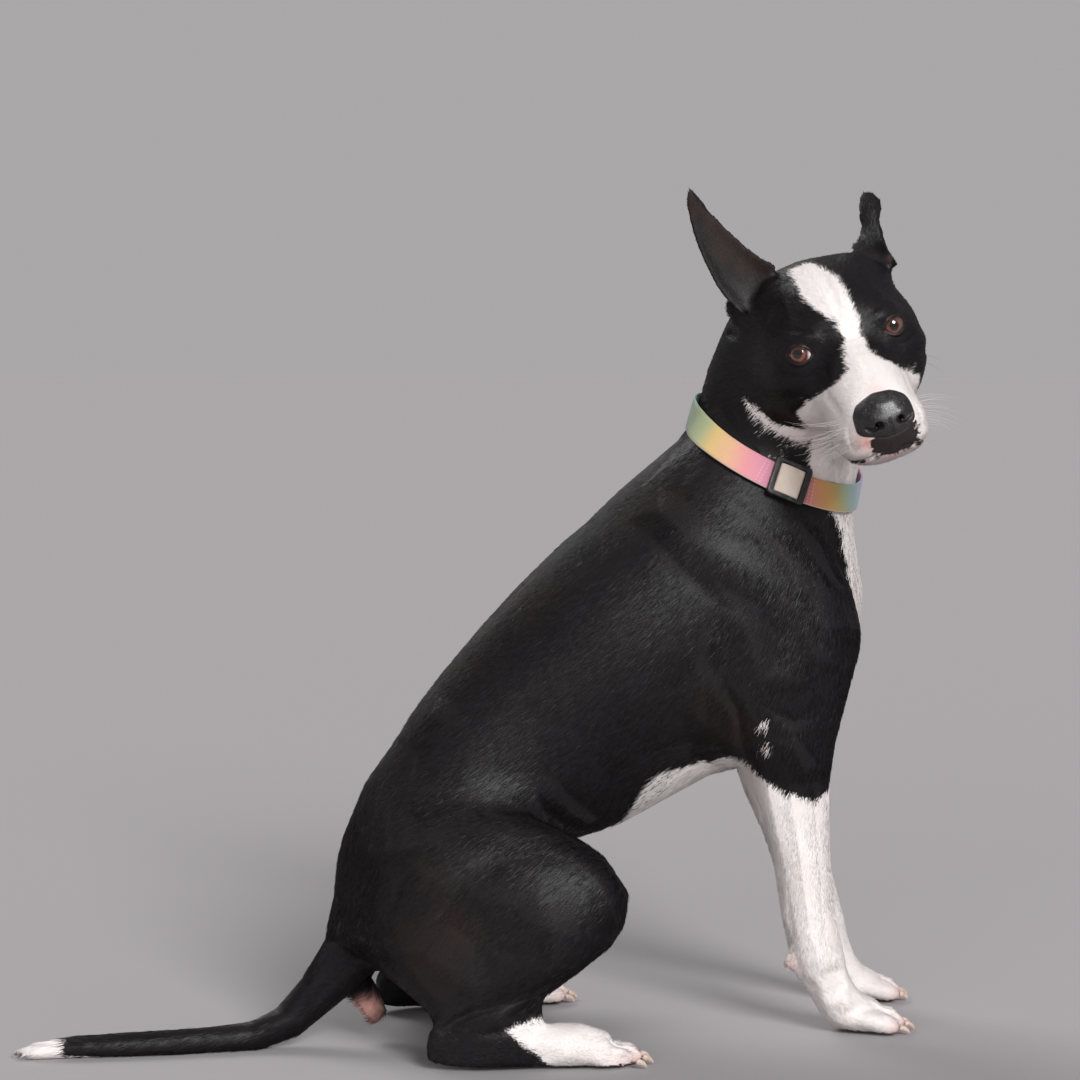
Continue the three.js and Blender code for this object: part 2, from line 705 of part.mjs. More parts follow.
function addForeleg(sideName) {
  const { side, stations, paw } = forelegs[sideName];
  const letter = sideName[0].toUpperCase();
  const span = (low, high) => (side > 0 ? [low, high] : [-high, -low]);
  const [y0, y1] = span(4, 190);
  const upper = fieldSolid(body, [0, y0, 176], [378, y1, 508], 29)
    .intersect(sideBlock(outlines.shoulder, side, inner.shoulder, gap));
  addPiece(dog, `shoulder_${letter}`, keepBeyond(upper, flipped(cuts.neckBase)), finishes.black);
  const [x, y, z] = stations[4];
  const pad = rodSolid([[x - 12, y, z - 4, 9, 8], [x - 22, y, z - 9, 9, 8], [x - 28, y, z - 14, 6, 5]], 6);
  const forearm = rodSolid(stations, 10).add(pad)
    .intersect(sideBlock(outlines.foreleg, side, inner.foreleg, gap));
  addPiece(dog, `forearm_${letter}`, keepBeyond(forearm, flipped(cuts.wrist)), finishes.white);
  const [y2, y3] = span(0, 130);
  const foot = keepBeyond(fieldSolid(body, [172, y2, -22], [384, y3, 118], 21), cuts.wrist);
  const shaped = shapePaw(foot, "fore", [paw.at[0], paw.at[1], paw.turn], letter);
  addPiece(dog, `forepaw_${letter}`, shaped, finishes.white);
}

function addHindleg(sideName) {
  const side = sides[sideName];
  const letter = sideName[0].toUpperCase();
  const [y0, y1] = side > 0 ? [20, 200] : [-200, -20];
  const leg = sideBlock(outlines.hindleg, side, inner.hindleg, gap);
  const upper = fieldSolid(body, [-268, y0, 0], [110, y1, 280], 28).intersect(leg);
  addPiece(dog, `thigh_${letter}`, keepBeyond(upper, flipped(cuts.knee)), finishes.black);
  const lower = fieldSolid(body, [-204, y0, -24], [104, y1, 204], 20).intersect(leg);
  const belowKnee = keepBeyond(lower, cuts.knee);
  addPiece(dog, `shank_${letter}`, keepBeyond(belowKnee, flipped(cuts.hock)), finishes.black);
  const flesh = keepBeyond(belowKnee, cuts.hock);
  const shaped = shapePaw(flesh, "hind", [10, side * 123, side * 6], letter);
  addPiece(dog, `hindfoot_${letter}`, shaped, finishes.white);
}

// ---- Head pieces ----

function addHead() {
  const q = new THREE.Vector3();
  const local = (p) => body(q.copy(p).applyMatrix4(headFrame));
  const holes = Object.entries(sides).map(([sideName, side]) => {
    const ball = (radius) =>
      geometrySolid(new THREE.SphereGeometry(radius, 10, 7)).translate(eyePlace(side));
    addPiece(head, `eye_${sideName[0].toUpperCase()}`, ball(eyeRadius), finishes.eye);
    return ball(eyeRadius + gap);
  });
  const withoutEyes = (solid) => holes.reduce((rest, hole) => rest.subtract(hole), solid);
  const back = fieldSolid(local, [-184, -116, -138], [18, 116, 108], 20);
  const skull = keepBeyond(keepBeyond(back, cuts.poll), flipped(cuts.face));
  const middle = fieldSolid(local, [-84, -112, -132], [64, 112, 92], 17.5);
  const face = keepBeyond(keepBeyond(middle, cuts.face), flipped(cuts.muzzle));
  const front = keepBeyond(
    withoutEyes(fieldSolid(local, [-24, -72, -128], [128, 72, 48], 15)), cuts.muzzle);
  const nose = front.intersect(middleBlock(outlines.nose, 25, gap));
  const jaw = front.intersect(middleBlock(outlines.jaw, 20, gap));
  const muzzle = front
    .subtract(middleBlock(outlines.nose, 25))
    .subtract(middleBlock(outlines.jaw, 20));
  let rooted = skull;
  for (const [sideName, { root, stations }] of Object.entries(ears)) {
    const leaf = keepBeyond(loft(stations.map(earRing)), root);
    addPiece(head, `ear_${sideName[0].toUpperCase()}`, leaf, finishes.black);
    rooted = keepBeyond(rooted, flipped(root));
  }
  addPiece(head, "skull", rooted, finishes.black);
  addPiece(head, "face", withoutEyes(keepBeyond(face, cuts.poll)), finishes.black);
  addPiece(head, "muzzle", muzzle, finishes.white);
  addPiece(head, "jaw", jaw, finishes.white);
  addPiece(head, "nose", nose, finishes.nose);
}

// The right ear stands up and opens forward; the left one is drawn back and turned. Stations run
// from root to tip: middle of the leaf's back, half width, depth of the cup, thickness, the way
// the width runs and the way the cup opens.
const ears = {
  right: {
    root: plane([-78, -50, 42], [-0.1, -0.6, 0.79]),
    stations: [
      [[-72, -42, 26], 24, 12, 9, [0.2, -0.9, -0.4], [0.94, 0.1, 0.2]],
      [[-77, -53, 44], 27, 13, 8, [0.2, -0.92, -0.35], [0.94, 0.1, 0.2]],
      [[-83, -65, 66], 22.5, 11, 6, [0.25, -0.94, -0.24], [0.94, 0.2, 0]],
      [[-88, -74, 89], 17, 7.5, 5, [0.3, -0.95, -0.16], [0.94, 0.28, 0]],
      [[-92, -79, 111], 11.5, 4, 4.5, [0.3, -0.95, -0.1], [0.94, 0.3, 0]],
      [[-94, -81, 131], 6.5, 1.5, 4, [0.3, -0.95, -0.1], [0.94, 0.3, 0]],
      [[-94, -81, 140], 2.5, 0.3, 2.5, [0.3, -0.95, -0.1], [0.94, 0.3, 0]],
    ],
  },
  left: {
    root: plane([-78, 50, 36], [-0.25, 0.55, 0.79]),
    stations: [
      [[-70, 42, 20], 23, 12, 9, [0.3, 0.9, -0.3], [0.8, -0.2, 0.5]],
      [[-78, 52, 34], 26, 12, 8, [0.4, 0.88, -0.3], [0.75, -0.3, 0.5]],
      [[-92, 59, 46], 18, 9, 7, [0.66, 0.7, 0], [0.5, -0.8, 0.3]],
      [[-108, 65, 57], 11, 4, 6.5, [0.7, 0.66, 0], [0.5, -0.8, 0.4]],
      [[-122, 70, 66], 10.5, 2.5, 6, [0.5, 0.85, -0.1], [0.6, -0.6, 0.6]],
      [[-134, 73, 73], 9.5, 1.5, 5.5, [0.4, 0.9, -0.2], [0.7, -0.5, 0.6]],
      [[-143, 75, 78], 4, 0.4, 3.5, [0.4, 0.9, -0.2], [0.7, -0.5, 0.6]],
    ],
  },
};

function earRing([at, half, cup, thick, across, open]) {
  const wide = point(...across).normalize();
  const out = point(...open).normalize();
  const arc = (lift) => [-1, -0.5, 0.5, 1].map((s) => point(...at)
    .addScaledVector(wide, s * half)
    .addScaledVector(out, cup * s * s + lift * (1 - 0.55 * Math.abs(s))));
  return [...arc(-thick / 2), ...arc(thick / 2).reverse()];
}

// ---- Collar ----

const collar = {
  middle: point(206, -4, 507),
  axis: point(0.3415, -0.3452, 0.8744).normalize(),
  toSlide: point(-13, -66, -21), // from the middle to the slide, on the right of the neck
  clearance: 2.4,
  sections: 30,
};

// Rays from the middle of the collar, and how far the neck reaches along each.
const collarX = collar.toSlide.addScaledVector(collar.axis, -collar.toSlide.dot(collar.axis)).normalize();
const collarY = collar.axis.clone().cross(collarX);
const collarRay = (angle) => collarX.clone().multiplyScalar(Math.cos(angle))
  .addScaledVector(collarY, Math.sin(angle));

function neckReach(angle, height) {
  const ray = collarRay(angle);
  const from = collar.middle.clone().addScaledVector(collar.axis, height);
  const at = (r) => body(from.clone().addScaledVector(ray, r));
  let r = 30;
  while (at(r) < 0) r += 2;
  return r - 2 + (2 * at(r - 2)) / (at(r - 2) - at(r));
}

// The inside of the strap at an angle: how far its lower and upper edges lie from the middle.
function strapEdges(angle) {
  const [low, middle, high] = [-0.5, 0, 0.5].map((share) => neckReach(angle, share * strapWidth));
  const bulge = Math.max(0, middle - (low + high) / 2);
  return [low, high].map((r) => r + bulge + collar.clearance);
}

function strapPoint(angle, edge, lift) {
  const r = strapEdges(angle)[edge] + lift;
  const height = (edge - 0.5) * strapWidth;
  return collar.middle.clone().addScaledVector(collar.axis, height)
    .addScaledVector(collarRay(angle), r);
}

// A frame on the outside of the strap: +X along it, +Y across it to the head, +Z outwards.
function onStrap(angle) {
  const at = (a) => strapPoint(a, 0, strapThickness).lerp(strapPoint(a, 1, strapThickness), 0.5);
  const x = at(angle + 0.12).sub(at(angle - 0.12)).normalize();
  const across = strapPoint(angle, 1, 0).sub(strapPoint(angle, 0, 0)).normalize();
  const z = x.clone().cross(across).normalize();
  return new THREE.Matrix4().makeBasis(x, z.clone().cross(x), z).setPosition(at(angle));
}

// A plate with rounded corners, lying from z = low to z = high.
function plate(width, height, corner, low, high) {
  const [w, h] = [width / 2 - corner, height / 2 - corner];
  const shape = new THREE.Shape();
  shape.absarc(w, h, corner, 0, Math.PI / 2);
  shape.absarc(-w, h, corner, Math.PI / 2, Math.PI);
  shape.absarc(-w, -h, corner, Math.PI, 1.5 * Math.PI);
  shape.absarc(w, -h, corner, 1.5 * Math.PI, 2 * Math.PI);
  const settings = { depth: high - low, bevelEnabled: false, curveSegments: 1 };
  return geometrySolid(new THREE.ExtrudeGeometry(shape, settings).translate(0, 0, low));
}

function addCollar() {
  const rings = Array.from({ length: collar.sections }, (_, i) => {
    const angle = (2 * Math.PI * i) / collar.sections;
    return [[0, 0], [0, strapThickness], [1, strapThickness], [1, 0]]
      .map(([edge, lift]) => strapPoint(angle, edge, lift));
  });
  const triangles = rings.flatMap((_, r) => [0, 1, 2, 3].flatMap((k) => {
    const next = ((r + 1) % rings.length) * 4;
    const [a, b, c, d] = [r * 4 + k, r * 4 + ((k + 1) % 4), next + ((k + 1) % 4), next + k];
    return [a, c, b, a, d, c];
  }));
  const strap = solidFrom(rings.flat(), triangles);
  const upright = strap.volume() > 0 ? strap : solidFrom(rings.flat(), triangles.reverse());
  addPiece(dog, "collar_strap", upright, finishes.webbing);

  const place = (solid, angle) => solid.transform(onStrap(angle).elements);
  const window = plate(24, 26.4, 1, -1, 9);
  const slide = plate(34, 33, 3, gap, 4.4).subtract(window);
  addPiece(dog, "collar_slide", place(slide, 0), finishes.plastic);
  addPiece(dog, "collar_tongue", place(plate(22.6, 25, 0.6, gap, 2.4), 0), finishes.webbing);
  const buckle = plate(44, 30, 7, gap + 2, 9).subtract(plate(16, 14, 4, 6.5, 12));
  addPiece(dog, "collar_buckle", place(buckle, Math.PI), finishes.plastic);
  const ring = geometrySolid(new THREE.TorusGeometry(11, 1.6, 5, 12))
    .translate([0, -strapWidth / 2 - 4, 2.6]);
  addPiece(dog, "collar_ring", place(ring, Math.PI - 0.62), finishes.steel);
}

addTrunk();
addNeck();
addTail();
for (const sideName of Object.keys(sides)) {
  addForeleg(sideName);
  addHindleg(sideName);
}
addHead();
addCollar();

// The origin is the middle of the base of the whole dog.
const extent = new THREE.Box3().setFromObject(dog, true);
const middle = extent.getCenter(new THREE.Vector3());
dog.position.set(-middle.x, -middle.y, -extent.min.z);

export default dog;
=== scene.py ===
# A seated short-coated dog at life size. Lengths are in millimetres until a mesh is written.
import math

import bmesh
import bpy
import numpy as np
from mathutils import Matrix, Vector
from mathutils.bvhtree import BVHTree


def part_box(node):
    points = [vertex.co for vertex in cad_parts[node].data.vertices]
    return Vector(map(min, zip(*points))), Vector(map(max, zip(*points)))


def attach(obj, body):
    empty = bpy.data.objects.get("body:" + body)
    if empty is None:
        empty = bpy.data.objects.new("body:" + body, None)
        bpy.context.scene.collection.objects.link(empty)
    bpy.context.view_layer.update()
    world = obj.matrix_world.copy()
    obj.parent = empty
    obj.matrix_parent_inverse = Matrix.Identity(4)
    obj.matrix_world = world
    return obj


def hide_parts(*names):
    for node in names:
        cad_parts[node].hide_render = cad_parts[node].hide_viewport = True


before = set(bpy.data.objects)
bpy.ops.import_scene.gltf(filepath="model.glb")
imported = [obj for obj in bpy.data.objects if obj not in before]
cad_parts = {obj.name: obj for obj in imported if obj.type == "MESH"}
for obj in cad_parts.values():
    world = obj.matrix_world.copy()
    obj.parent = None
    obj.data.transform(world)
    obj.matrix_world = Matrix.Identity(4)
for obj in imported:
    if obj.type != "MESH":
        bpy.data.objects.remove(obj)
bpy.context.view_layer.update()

mm = 0.001


# numbers and fields

def ease(x, low, high):
    t = np.clip((np.asarray(x, float) - low) / (high - low), 0, 1)
    return t * t * (3 - 2 * t)


def unit(v):
    v = np.asarray(v, float)
    return v / np.maximum(np.linalg.norm(v, axis=-1, keepdims=True), 1e-9)


def boxOf(*nodes):
    lows, highs = zip(*[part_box(name) for name in nodes])
    return np.min(lows, 0) / mm, np.max(highs, 0) / mm


def middleOf(node):
    low, high = boxOf(node)
    return (low + high) / 2


def outsideBox(points, low, high):
    return np.linalg.norm(np.maximum(0, np.maximum(low - points, points - high)), axis=1)


def nearNode(points, fade, *nodes):
    # 1 inside the nodes' box, fading to 0 outside it
    return 1 - ease(outsideBox(points, *boxOf(*nodes)), 0, fade)


def toLine(points, line):
    # distance to a line of points, and the share of the way along it
    line = np.asarray(line, float)
    if len(line) == 1:
        return np.linalg.norm(points - line[0], axis=1), np.zeros(len(points))
    steps = np.linalg.norm(np.diff(line, axis=0), axis=1)
    begun = np.concatenate([[0], np.cumsum(steps)])
    best = np.full(len(points), 1e9)
    share = np.zeros(len(points))
    for i, step in enumerate(steps):
        along = (line[i + 1] - line[i]) / max(step, 1e-9)
        t = np.clip((points - line[i]) @ along, 0, step)
        d = np.linalg.norm(points - line[i] - t[:, None] * along, axis=1)
        closer = d < best
        best[closer] = d[closer]
        share[closer] = (begun[i] + t[closer]) / begun[-1]
    return best, share


def curveThrough(points, count):
    # a smooth line through a few points
    p = np.asarray(points, float)
    p = np.vstack([2 * p[0] - p[1], p, 2 * p[-1] - p[-2]])
    spans = len(p) - 3
    out = []
    for t in np.linspace(0, spans, count):
        i = min(int(t), spans - 1)
        u = t - i
        a, b, c, d = p[i:i + 4]
        out.append(0.5 * (2 * b + (c - a) * u + (2 * a - 5 * b + 4 * c - d) * u * u
                          + (3 * b - a - 3 * c + d) * u ** 3))
    return np.array(out)


# the head's own directions: forward to the nose, left, and up to the crown
headPlace = {"noseDip": 26.28, "eyeBack": 2.0}
sides = ("R", "L")
eyeMiddle = {side: middleOf(f"eye_{side}") for side in sides}
betweenEyes = (eyeMiddle["R"] + eyeMiddle["L"]) / 2
headLeft = unit(eyeMiddle["L"] - eyeMiddle["R"])
toNose = middleOf("nose") - betweenEyes
toNose = unit(toNose - headLeft * (toNose @ headLeft))
dip = math.radians(headPlace["noseDip"])
headForward = toNose * math.cos(dip) + np.cross(toNose, headLeft) * math.sin(dip)
headUp = np.cross(headForward, headLeft)
headAxes = np.stack([headForward, headLeft, headUp])
headOrigin = betweenEyes + headPlace["eyeBack"] * headForward


def inHead(points):
    return (np.asarray(points, float) - headOrigin) @ headAxes.T


def fromHead(points):
    return np.asarray(points, float) @ headAxes + headOrigin


print("head frame", headOrigin.round(1), headForward.round(3), headUp.round(3))


# meshes

def readAll(items, field, width, kind=np.int32):
    flat = np.empty(len(items) * width, kind)
    items.foreach_get(field, flat)
    return flat.reshape(-1, width)


def coordsOf(mesh):
    return readAll(mesh.vertices, "co", 3, np.float32).astype(float) / mm


def setCoords(mesh, points):
    mesh.vertices.foreach_set("co", (points * mm).astype(np.float32).ravel())
    mesh.update()


def normalsOf(mesh):
    return readAll(mesh.vertex_normals, "vector", 3, np.float32).astype(float)


def edgesOf(mesh):
    return readAll(mesh.edges, "vertices", 2)


def trianglesOf(mesh):
    mesh.calc_loop_triangles()
    return readAll(mesh.loop_triangles, "vertices", 3)


def mapOf(mesh, name):
    return readAll(mesh.uv_layers[name].data, "uv", 2, np.float32)


def addMap(mesh, name, cornerMaps):
    # a map with one place for every corner of every face
    mesh.uv_layers.new(name=name).data.foreach_set("uv", np.asarray(cornerMaps, np.float32).ravel())


def addPointMap(mesh, name, pointMaps):
    # a map with one place for every point of the mesh
    addMap(mesh, name, pointMaps[readAll(mesh.loops, "vertex_index", 1)[:, 0]])


def setAttribute(mesh, name, values):
    values = np.asarray(values, np.float32)
    kind, field = ("FLOAT_VECTOR", "vector") if values.ndim == 2 else ("FLOAT", "value")
    mesh.attributes.new(name, kind, "POINT").data.foreach_set(field, values.ravel())


def newObject(name, mesh):
    obj = bpy.data.objects.new(name, mesh)
    bpy.context.scene.collection.objects.link(obj)
    return obj


def meshFrom(name, points, faces):
    mesh = bpy.data.meshes.new(name)
    mesh.from_pydata([tuple(p) for p in np.asarray(points, float) * mm], [], [tuple(f) for f in faces])
    mesh.update()
    return mesh


def objectFrom(name, bm):
    mesh = bpy.data.meshes.new(name)
    bm.to_mesh(mesh)
    bm.free()
    return newObject(name, mesh)


def faceOutwards(mesh):
    bm = bmesh.new()
    bm.from_mesh(mesh)
    bmesh.ops.recalc_face_normals(bm, faces=bm.faces)
    bm.to_mesh(mesh)
    bm.free()


def evaluated(obj):
    # the object's mesh with its modifiers applied, as plain mesh data
    graph = bpy.context.evaluated_depsgraph_get()
    mesh = bpy.data.meshes.new_from_object(obj.evaluated_get(graph))
    obj.modifiers.clear()
    obj.data = mesh
    return mesh


def shadeSmooth(mesh):
    mesh.polygons.foreach_set("use_smooth", np.ones(len(mesh.polygons), bool))
    mesh.update()


def relax(values, edges, weight, rounds):
    # draws each point's row of numbers towards those of its neighbours
    a, b = edges.T
    size = len(values)
    count = np.maximum(np.bincount(np.concatenate([a, b]), minlength=size), 1)[:, None]
    weight = np.broadcast_to(weight, size)[:, None]
    for _ in range(rounds):
        total = np.stack([np.bincount(a, column[b], size) + np.bincount(b, column[a], size)
                          for column in values.T], 1)
        values = values + weight * (total / count - values)
    return values


def solidsCopied(nodes, grow):
    # copies of CAD solids in one mesh, grown a little so that the cuts between them close
    bm = bmesh.new()
    for name in nodes:
        bm.from_mesh(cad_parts[name].data)
    bmesh.ops.remove_doubles(bm, verts=bm.verts, dist=1e-5)
    bmesh.ops.recalc_face_normals(bm, faces=bm.faces)
    bm.normal_update()
    for v in bm.verts:
        v.co += v.normal * grow * mm
    return bm


def putInto(bm, added):
    mesh = bpy.data.meshes.new("added")
    added.to_mesh(mesh)
    added.free()
    bm.from_mesh(mesh)
    bpy.data.meshes.remove(mesh)


def divide(mesh, chosen):
    # splits the faces whose corners are chosen into four
    bm = bmesh.new()
    bm.from_mesh(mesh)
    bm.verts.ensure_lookup_table()
    edges = [e for e in bm.edges if chosen[e.verts[0].index] and chosen[e.verts[1].index]]
    bmesh.ops.subdivide_edges(bm, edges=edges, cuts=1, use_grid_fill=True)
    bmesh.ops.triangulate(bm, faces=[f for f in bm.faces if len(f.verts) > 4])
    bm.to_mesh(mesh)
    bm.free()
    mesh.update()


def treeOf(mesh):
    return BVHTree.FromPolygons([v.co for v in mesh.vertices], [p.vertices for p in mesh.polygons])


def ontoSurface(tree, points):
    return np.array([tree.find_nearest(Vector(p * mm))[0] for p in np.asarray(points, float)]) / mm


# the collar's line round the neck
collarSizes = {
    "sections": 260, "thickness": 2.0, "crown": 0.25, "width": 24.4, "softEdge": 0.7, "measuredAt": 10.0,
    "tongueCrown": 1.7, "slideBevel": 0.55, "buckleBevel": 1.1, "weaveAlong": 1.15, "weaveAcross": 1.5,
    "clearOfSkin": 0.4, "margin": 0.6, "pressBeyond": 4.0, "pressOut": 14.0,
}


def mergedPoints(node):
    bm = solidsCopied([node], 0)
    points = np.array([v.co for v in bm.verts]) / mm
    bm.free()
    return points


def strapEdges():
    # the strap's lower and upper edge lines on its outside, from the slide round towards the breast
    points = mergedPoints("collar_strap")
    centre = points.mean(0)
    axis = np.linalg.svd(points - centre)[2][2]
    axis = axis if axis[2] > 0 else -axis
    zero = middleOf("collar_slide") - centre
    zero = unit(zero - axis * (zero @ axis))
    turn = np.cross(axis, zero)
    tree = treeOf(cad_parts["collar_strap"].data)
    edges = []
    for angle in np.linspace(0, 2 * math.pi, collarSizes["sections"], endpoint=False):
        way = zero * math.cos(angle) + turn * math.sin(angle)
        pair = []
        for height in (-collarSizes["measuredAt"], collarSizes["measuredAt"]):
            start = centre + axis * height + way * 200
            found = tree.ray_cast(Vector(start * mm), Vector(-way))[0]
            pair.append(np.array(found) / mm)
        edges.append(pair)
    edges = np.array(edges)
    for _ in range(6):
        edges = (np.roll(edges, 1, 0) + 2 * edges + np.roll(edges, -1, 0)) / 4
    widen = (edges[:, 1] - edges[:, 0]) * 0.5 * (collarSizes["width"] / 2 / collarSizes["measuredAt"] - 1)
    return edges[:, 0] - widen, edges[:, 1] + widen, centre, axis, zero, turn


lowEdge, highEdge, strapCentre, strapAxis, strapZero, strapTurn = strapEdges()


def roundCollar(points):
    # height from the collar's middle plane, reach from its axis, and the strap's own reach there
    q = points - strapCentre
    height = q @ strapAxis
    out = q - np.outer(height, strapAxis)
    reach = np.linalg.norm(out, axis=1)
    angle = np.arctan2(out @ strapTurn, out @ strapZero) % (2 * math.pi)
    share = np.clip(height / collarSizes["width"] + 0.5, 0, 1)
    strap = 0
    for edge, part in ((lowEdge, 1 - share), (highEdge, share)):
        p = edge - strapCentre
        away = np.linalg.norm(p - np.outer(p @ strapAxis, strapAxis), axis=1)
        at = np.linspace(0, 2 * math.pi, len(away) + 1)
        strap = strap + part * np.interp(angle, at, np.append(away, away[0]))
    return height, out, reach, strap


def pressUnderCollar(points):
    # the skin keeps inside the strap
    height, out, reach, strap = roundCollar(points)
    beyond = np.maximum(np.abs(height) - collarSizes["width"] / 2 - collarSizes["margin"], 0)
    limit = strap - collarSizes["thickness"] - collarSizes["clearOfSkin"] + 4 * beyond
    near = (reach < strap + collarSizes["pressOut"]) & (beyond < collarSizes["pressBeyond"])
    wanted = np.where((reach > limit) & near, limit, reach)
    return points + out * (wanted / np.maximum(reach, 1e-6) - 1)[:, None]


# the skin: its voxels, its rounds of smoothing, and the depths of its mouth line and nose bed
skinSizes = {
    "voxel": 2.3, "grow": 0.5, "earGrow": 1.6, "coatDepth": 1.0, "bodyRelief": 1.5, "triangles": 186000,
    "trunkRounds": 150, "headRounds": 18, "fineRounds": 12, "mouthWidth": 3.4, "mouthDepth": 3.2,
    "noseReach": (20, 25, 21), "noseBedDepth": 6.0, "floorGap": 0.05,
}
trimNodes = ("eye", "claw", "collar", "nose")
flesh = sorted(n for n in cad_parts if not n.startswith(trimNodes))
earNodes = ["ear_R", "ear_L"]
pawNodes = ["forepaw_R", "forepaw_L", "hindfoot_R", "hindfoot_L"]
tailNodes = ["tail_root", "tail_middle", "tail_end"]
midPlane = float(middleOf("loin")[1])


def largestPiece(mesh):
    bm = bmesh.new()
    bm.from_mesh(mesh)
    pieces = []
    left = set(bm.verts)
    while left:
        todo = [left.pop()]
        piece = set(todo)
        while todo:
            for e in todo.pop().link_edges:
                for v in e.verts:
                    if v in left:
                        left.discard(v)
                        piece.add(v)
                        todo.append(v)
        pieces.append(piece)
    largest = max(pieces, key=len)
    bmesh.ops.delete(bm, geom=[v for v in bm.verts if v not in largest], context="VERTS")
    bm.to_mesh(mesh)
    bm.free()


def voxelSkin(name, nodes, grow, voxel, thin=(), thinGrow=0, swellings=()):
    # one closed skin round several solids, the thin ones grown more, with small swellings added
    bm = solidsCopied(nodes, grow)
    if thin:
        putInto(bm, solidsCopied(thin, thinGrow))
    for centre, reach in swellings:
        shape = Matrix.Translation(Vector(centre) * mm) @ Matrix.Diagonal((*(r * mm for r in reach), 1))
        bmesh.ops.create_icosphere(bm, subdivisions=3, radius=1, matrix=shape)
    skin = objectFrom(name, bm)
    remesh = skin.modifiers.new("closed", "REMESH")
    remesh.mode = "VOXEL"
    remesh.voxel_size = voxel * mm
    largestPiece(evaluated(skin))
    return skin


def regions(points):
    # how far each point belongs to the head, the ears, the paws and the limbs, from 0 to 1
    h = inHead(points)
    head = 1 - ease(outsideBox(h, np.array([-96, -66, -84]), np.array([100, 66, 60])), 0, 26)
    ears = np.maximum(nearNode(points, 8, "ear_R"), nearNode(points, 8, "ear_L")) * ease(h[:, 2], 30, 48)
    paws = np.max([nearNode(points, 14, n) for n in pawNodes], 0)
    limbs = np.max([nearNode(points, 20, n) for n in ["forearm_R", "forearm_L", *tailNodes]], 0)
    shanks = np.maximum(nearNode(points, 20, "shank_R"), nearNode(points, 20, "shank_L"))
    limbs = np.maximum(limbs, 0.6 * shanks)
    return h, head, ears, paws, limbs


def stroke(points, normals, line, radius, height):
    # raises or sinks the surface along a line
    low, high = np.min(line, 0) - radius, np.max(line, 0) + radius
    near = np.where(np.all((points > low) & (points < high), axis=1))[0]
    if len(near) == 0:
        return
    d, share = toLine(points[near], line)
    fade = np.minimum(1, 4 * np.minimum(share, 1 - share) + 0.25) if len(line) > 1 else 1
    points[near] += normals[near] * (height * (1 - ease(d, 0, radius)) * fade)[:, None]


# each line of the body: its points on the right side, its width and its height
bodyLines = {
    "shoulderBlade": [[(134, 10, 462), (158, -44, 436), (205, -58, 408), (246, -62, 384)], 22, 2.2],
    "bladeFront": [[(200, -30, 462), (232, -50, 432), (262, -56, 404)], 15, -1.6],
    "bladeBack": [[(128, -20, 440), (150, -52, 408), (176, -58, 380)], 16, -1.6],
    "upperArm": [[(196, -60, 372), (204, -62, 336), (206, -60, 308)], 26, 2.6],
    "armFront": [[(262, -64, 372), (262, -66, 344), (250, -64, 314)], 18, 1.8],
    "betweenArm": [[(238, -62, 372), (232, -62, 344), (222, -60, 318)], 9, -1.5],
    "behindArm": [[(176, -58, 372), (169, -57, 344), (176, -56, 316)], 10, -2.2],
    "elbowFold": [[(183, -54, 310), (197, -55, 285), (201, -46, 258), (210, -40, 244)], 7, -3.0],
    "besideFold": [[(194, -57, 312), (206, -58, 288), (214, -56, 264)], 7, 1.6],
    "armArch": [[(217, -59, 290), (232, -61, 283), (250, -61, 282), (275, -59, 293)], 7, -1.5],
    "forearmTop": [[(232, -58, 262), (250, -58, 250), (254, -54, 228)], 15, 2.0],
    "elbowSkin": [[(203, -57, 300), (210, -58, 286)], 4, -0.9],
    "brisketFold": [[(176, -36, 262), (150, -36, 250), (124, -34, 244)], 12, -1.2],
    "neckRidge": [[(246, -46, 446), (262, -52, 424), (286, -50, 396)], 11, 1.6],
    "neckGroove": [[(262, -40, 446), (284, -36, 418), (297, -42, 388)], 9, -1.8],
    "flankFold": [[(34, -30, 226), (58, -14, 204), (84, 6, 190)], 11, 3.0],
    "flankHollow": [[(-20, -50, 226), (14, -44, 214), (40, -28, 206)], 20, -3.4],
    "thighTop": [[(40, -97, 187), (12, -94, 188), (-20, -88, 182), (-45, -85, 160)], 9, -1.8],
    "thighFront": [[(46, -104, 168), (62, -108, 150), (66, -106, 128)], 16, 1.8],
    "thighBack": [[(-45, -85, 160), (-67, -73, 127), (-95, -65, 100)], 10, -2.6],
    "thighFlesh": [[(-20, -104, 128), (10, -108, 122), (34, -108, 118)], 30, 2.6],
    "hamstring": [[(-84, -52, 158), (-100, -44, 126), (-112, -34, 92)], 9, -1.8],
    "shankFold": [[(-72, -92, 36), (-47, -97, 50), (-7, -102, 61), (27, -104, 76)], 6, -2.4],
    "heelFoldA": [[(-62, -95, 44), (-40, -98, 56), (-18, -100, 66)], 4, -1.1],
    "heelFoldB": [[(-56, -92, 60), (-38, -96, 70), (-22, -98, 78)], 4, -0.9],
    "shankGroove": [[(-40, -98, 32), (-10, -100, 38), (18, -102, 50)], 6, -1.2],
    "hipBone": [[(-74, -20, 300)], 26, 2.5],
    "tendon": [[(232, -44, 150), (236, -42, 110), (240, -38, 78)], 5, -1.4],
    "foreBone": [[(252, -50, 180), (258, -48, 130), (262, -46, 92)], 8, 0.9],
}
middleLines = {
    "backFurrow": [[(150, 0, 462), (80, 0, 424), (0, 0, 370), (-60, 0, 318)], 11, -1.6],
    "breastFurrow": [[(322, 0, 430), (318, 0, 396), (306, 0, 350)], 10, -1.4],
    "tailRoot": [[(-128, 0, 116)], 22, 1.5],
}
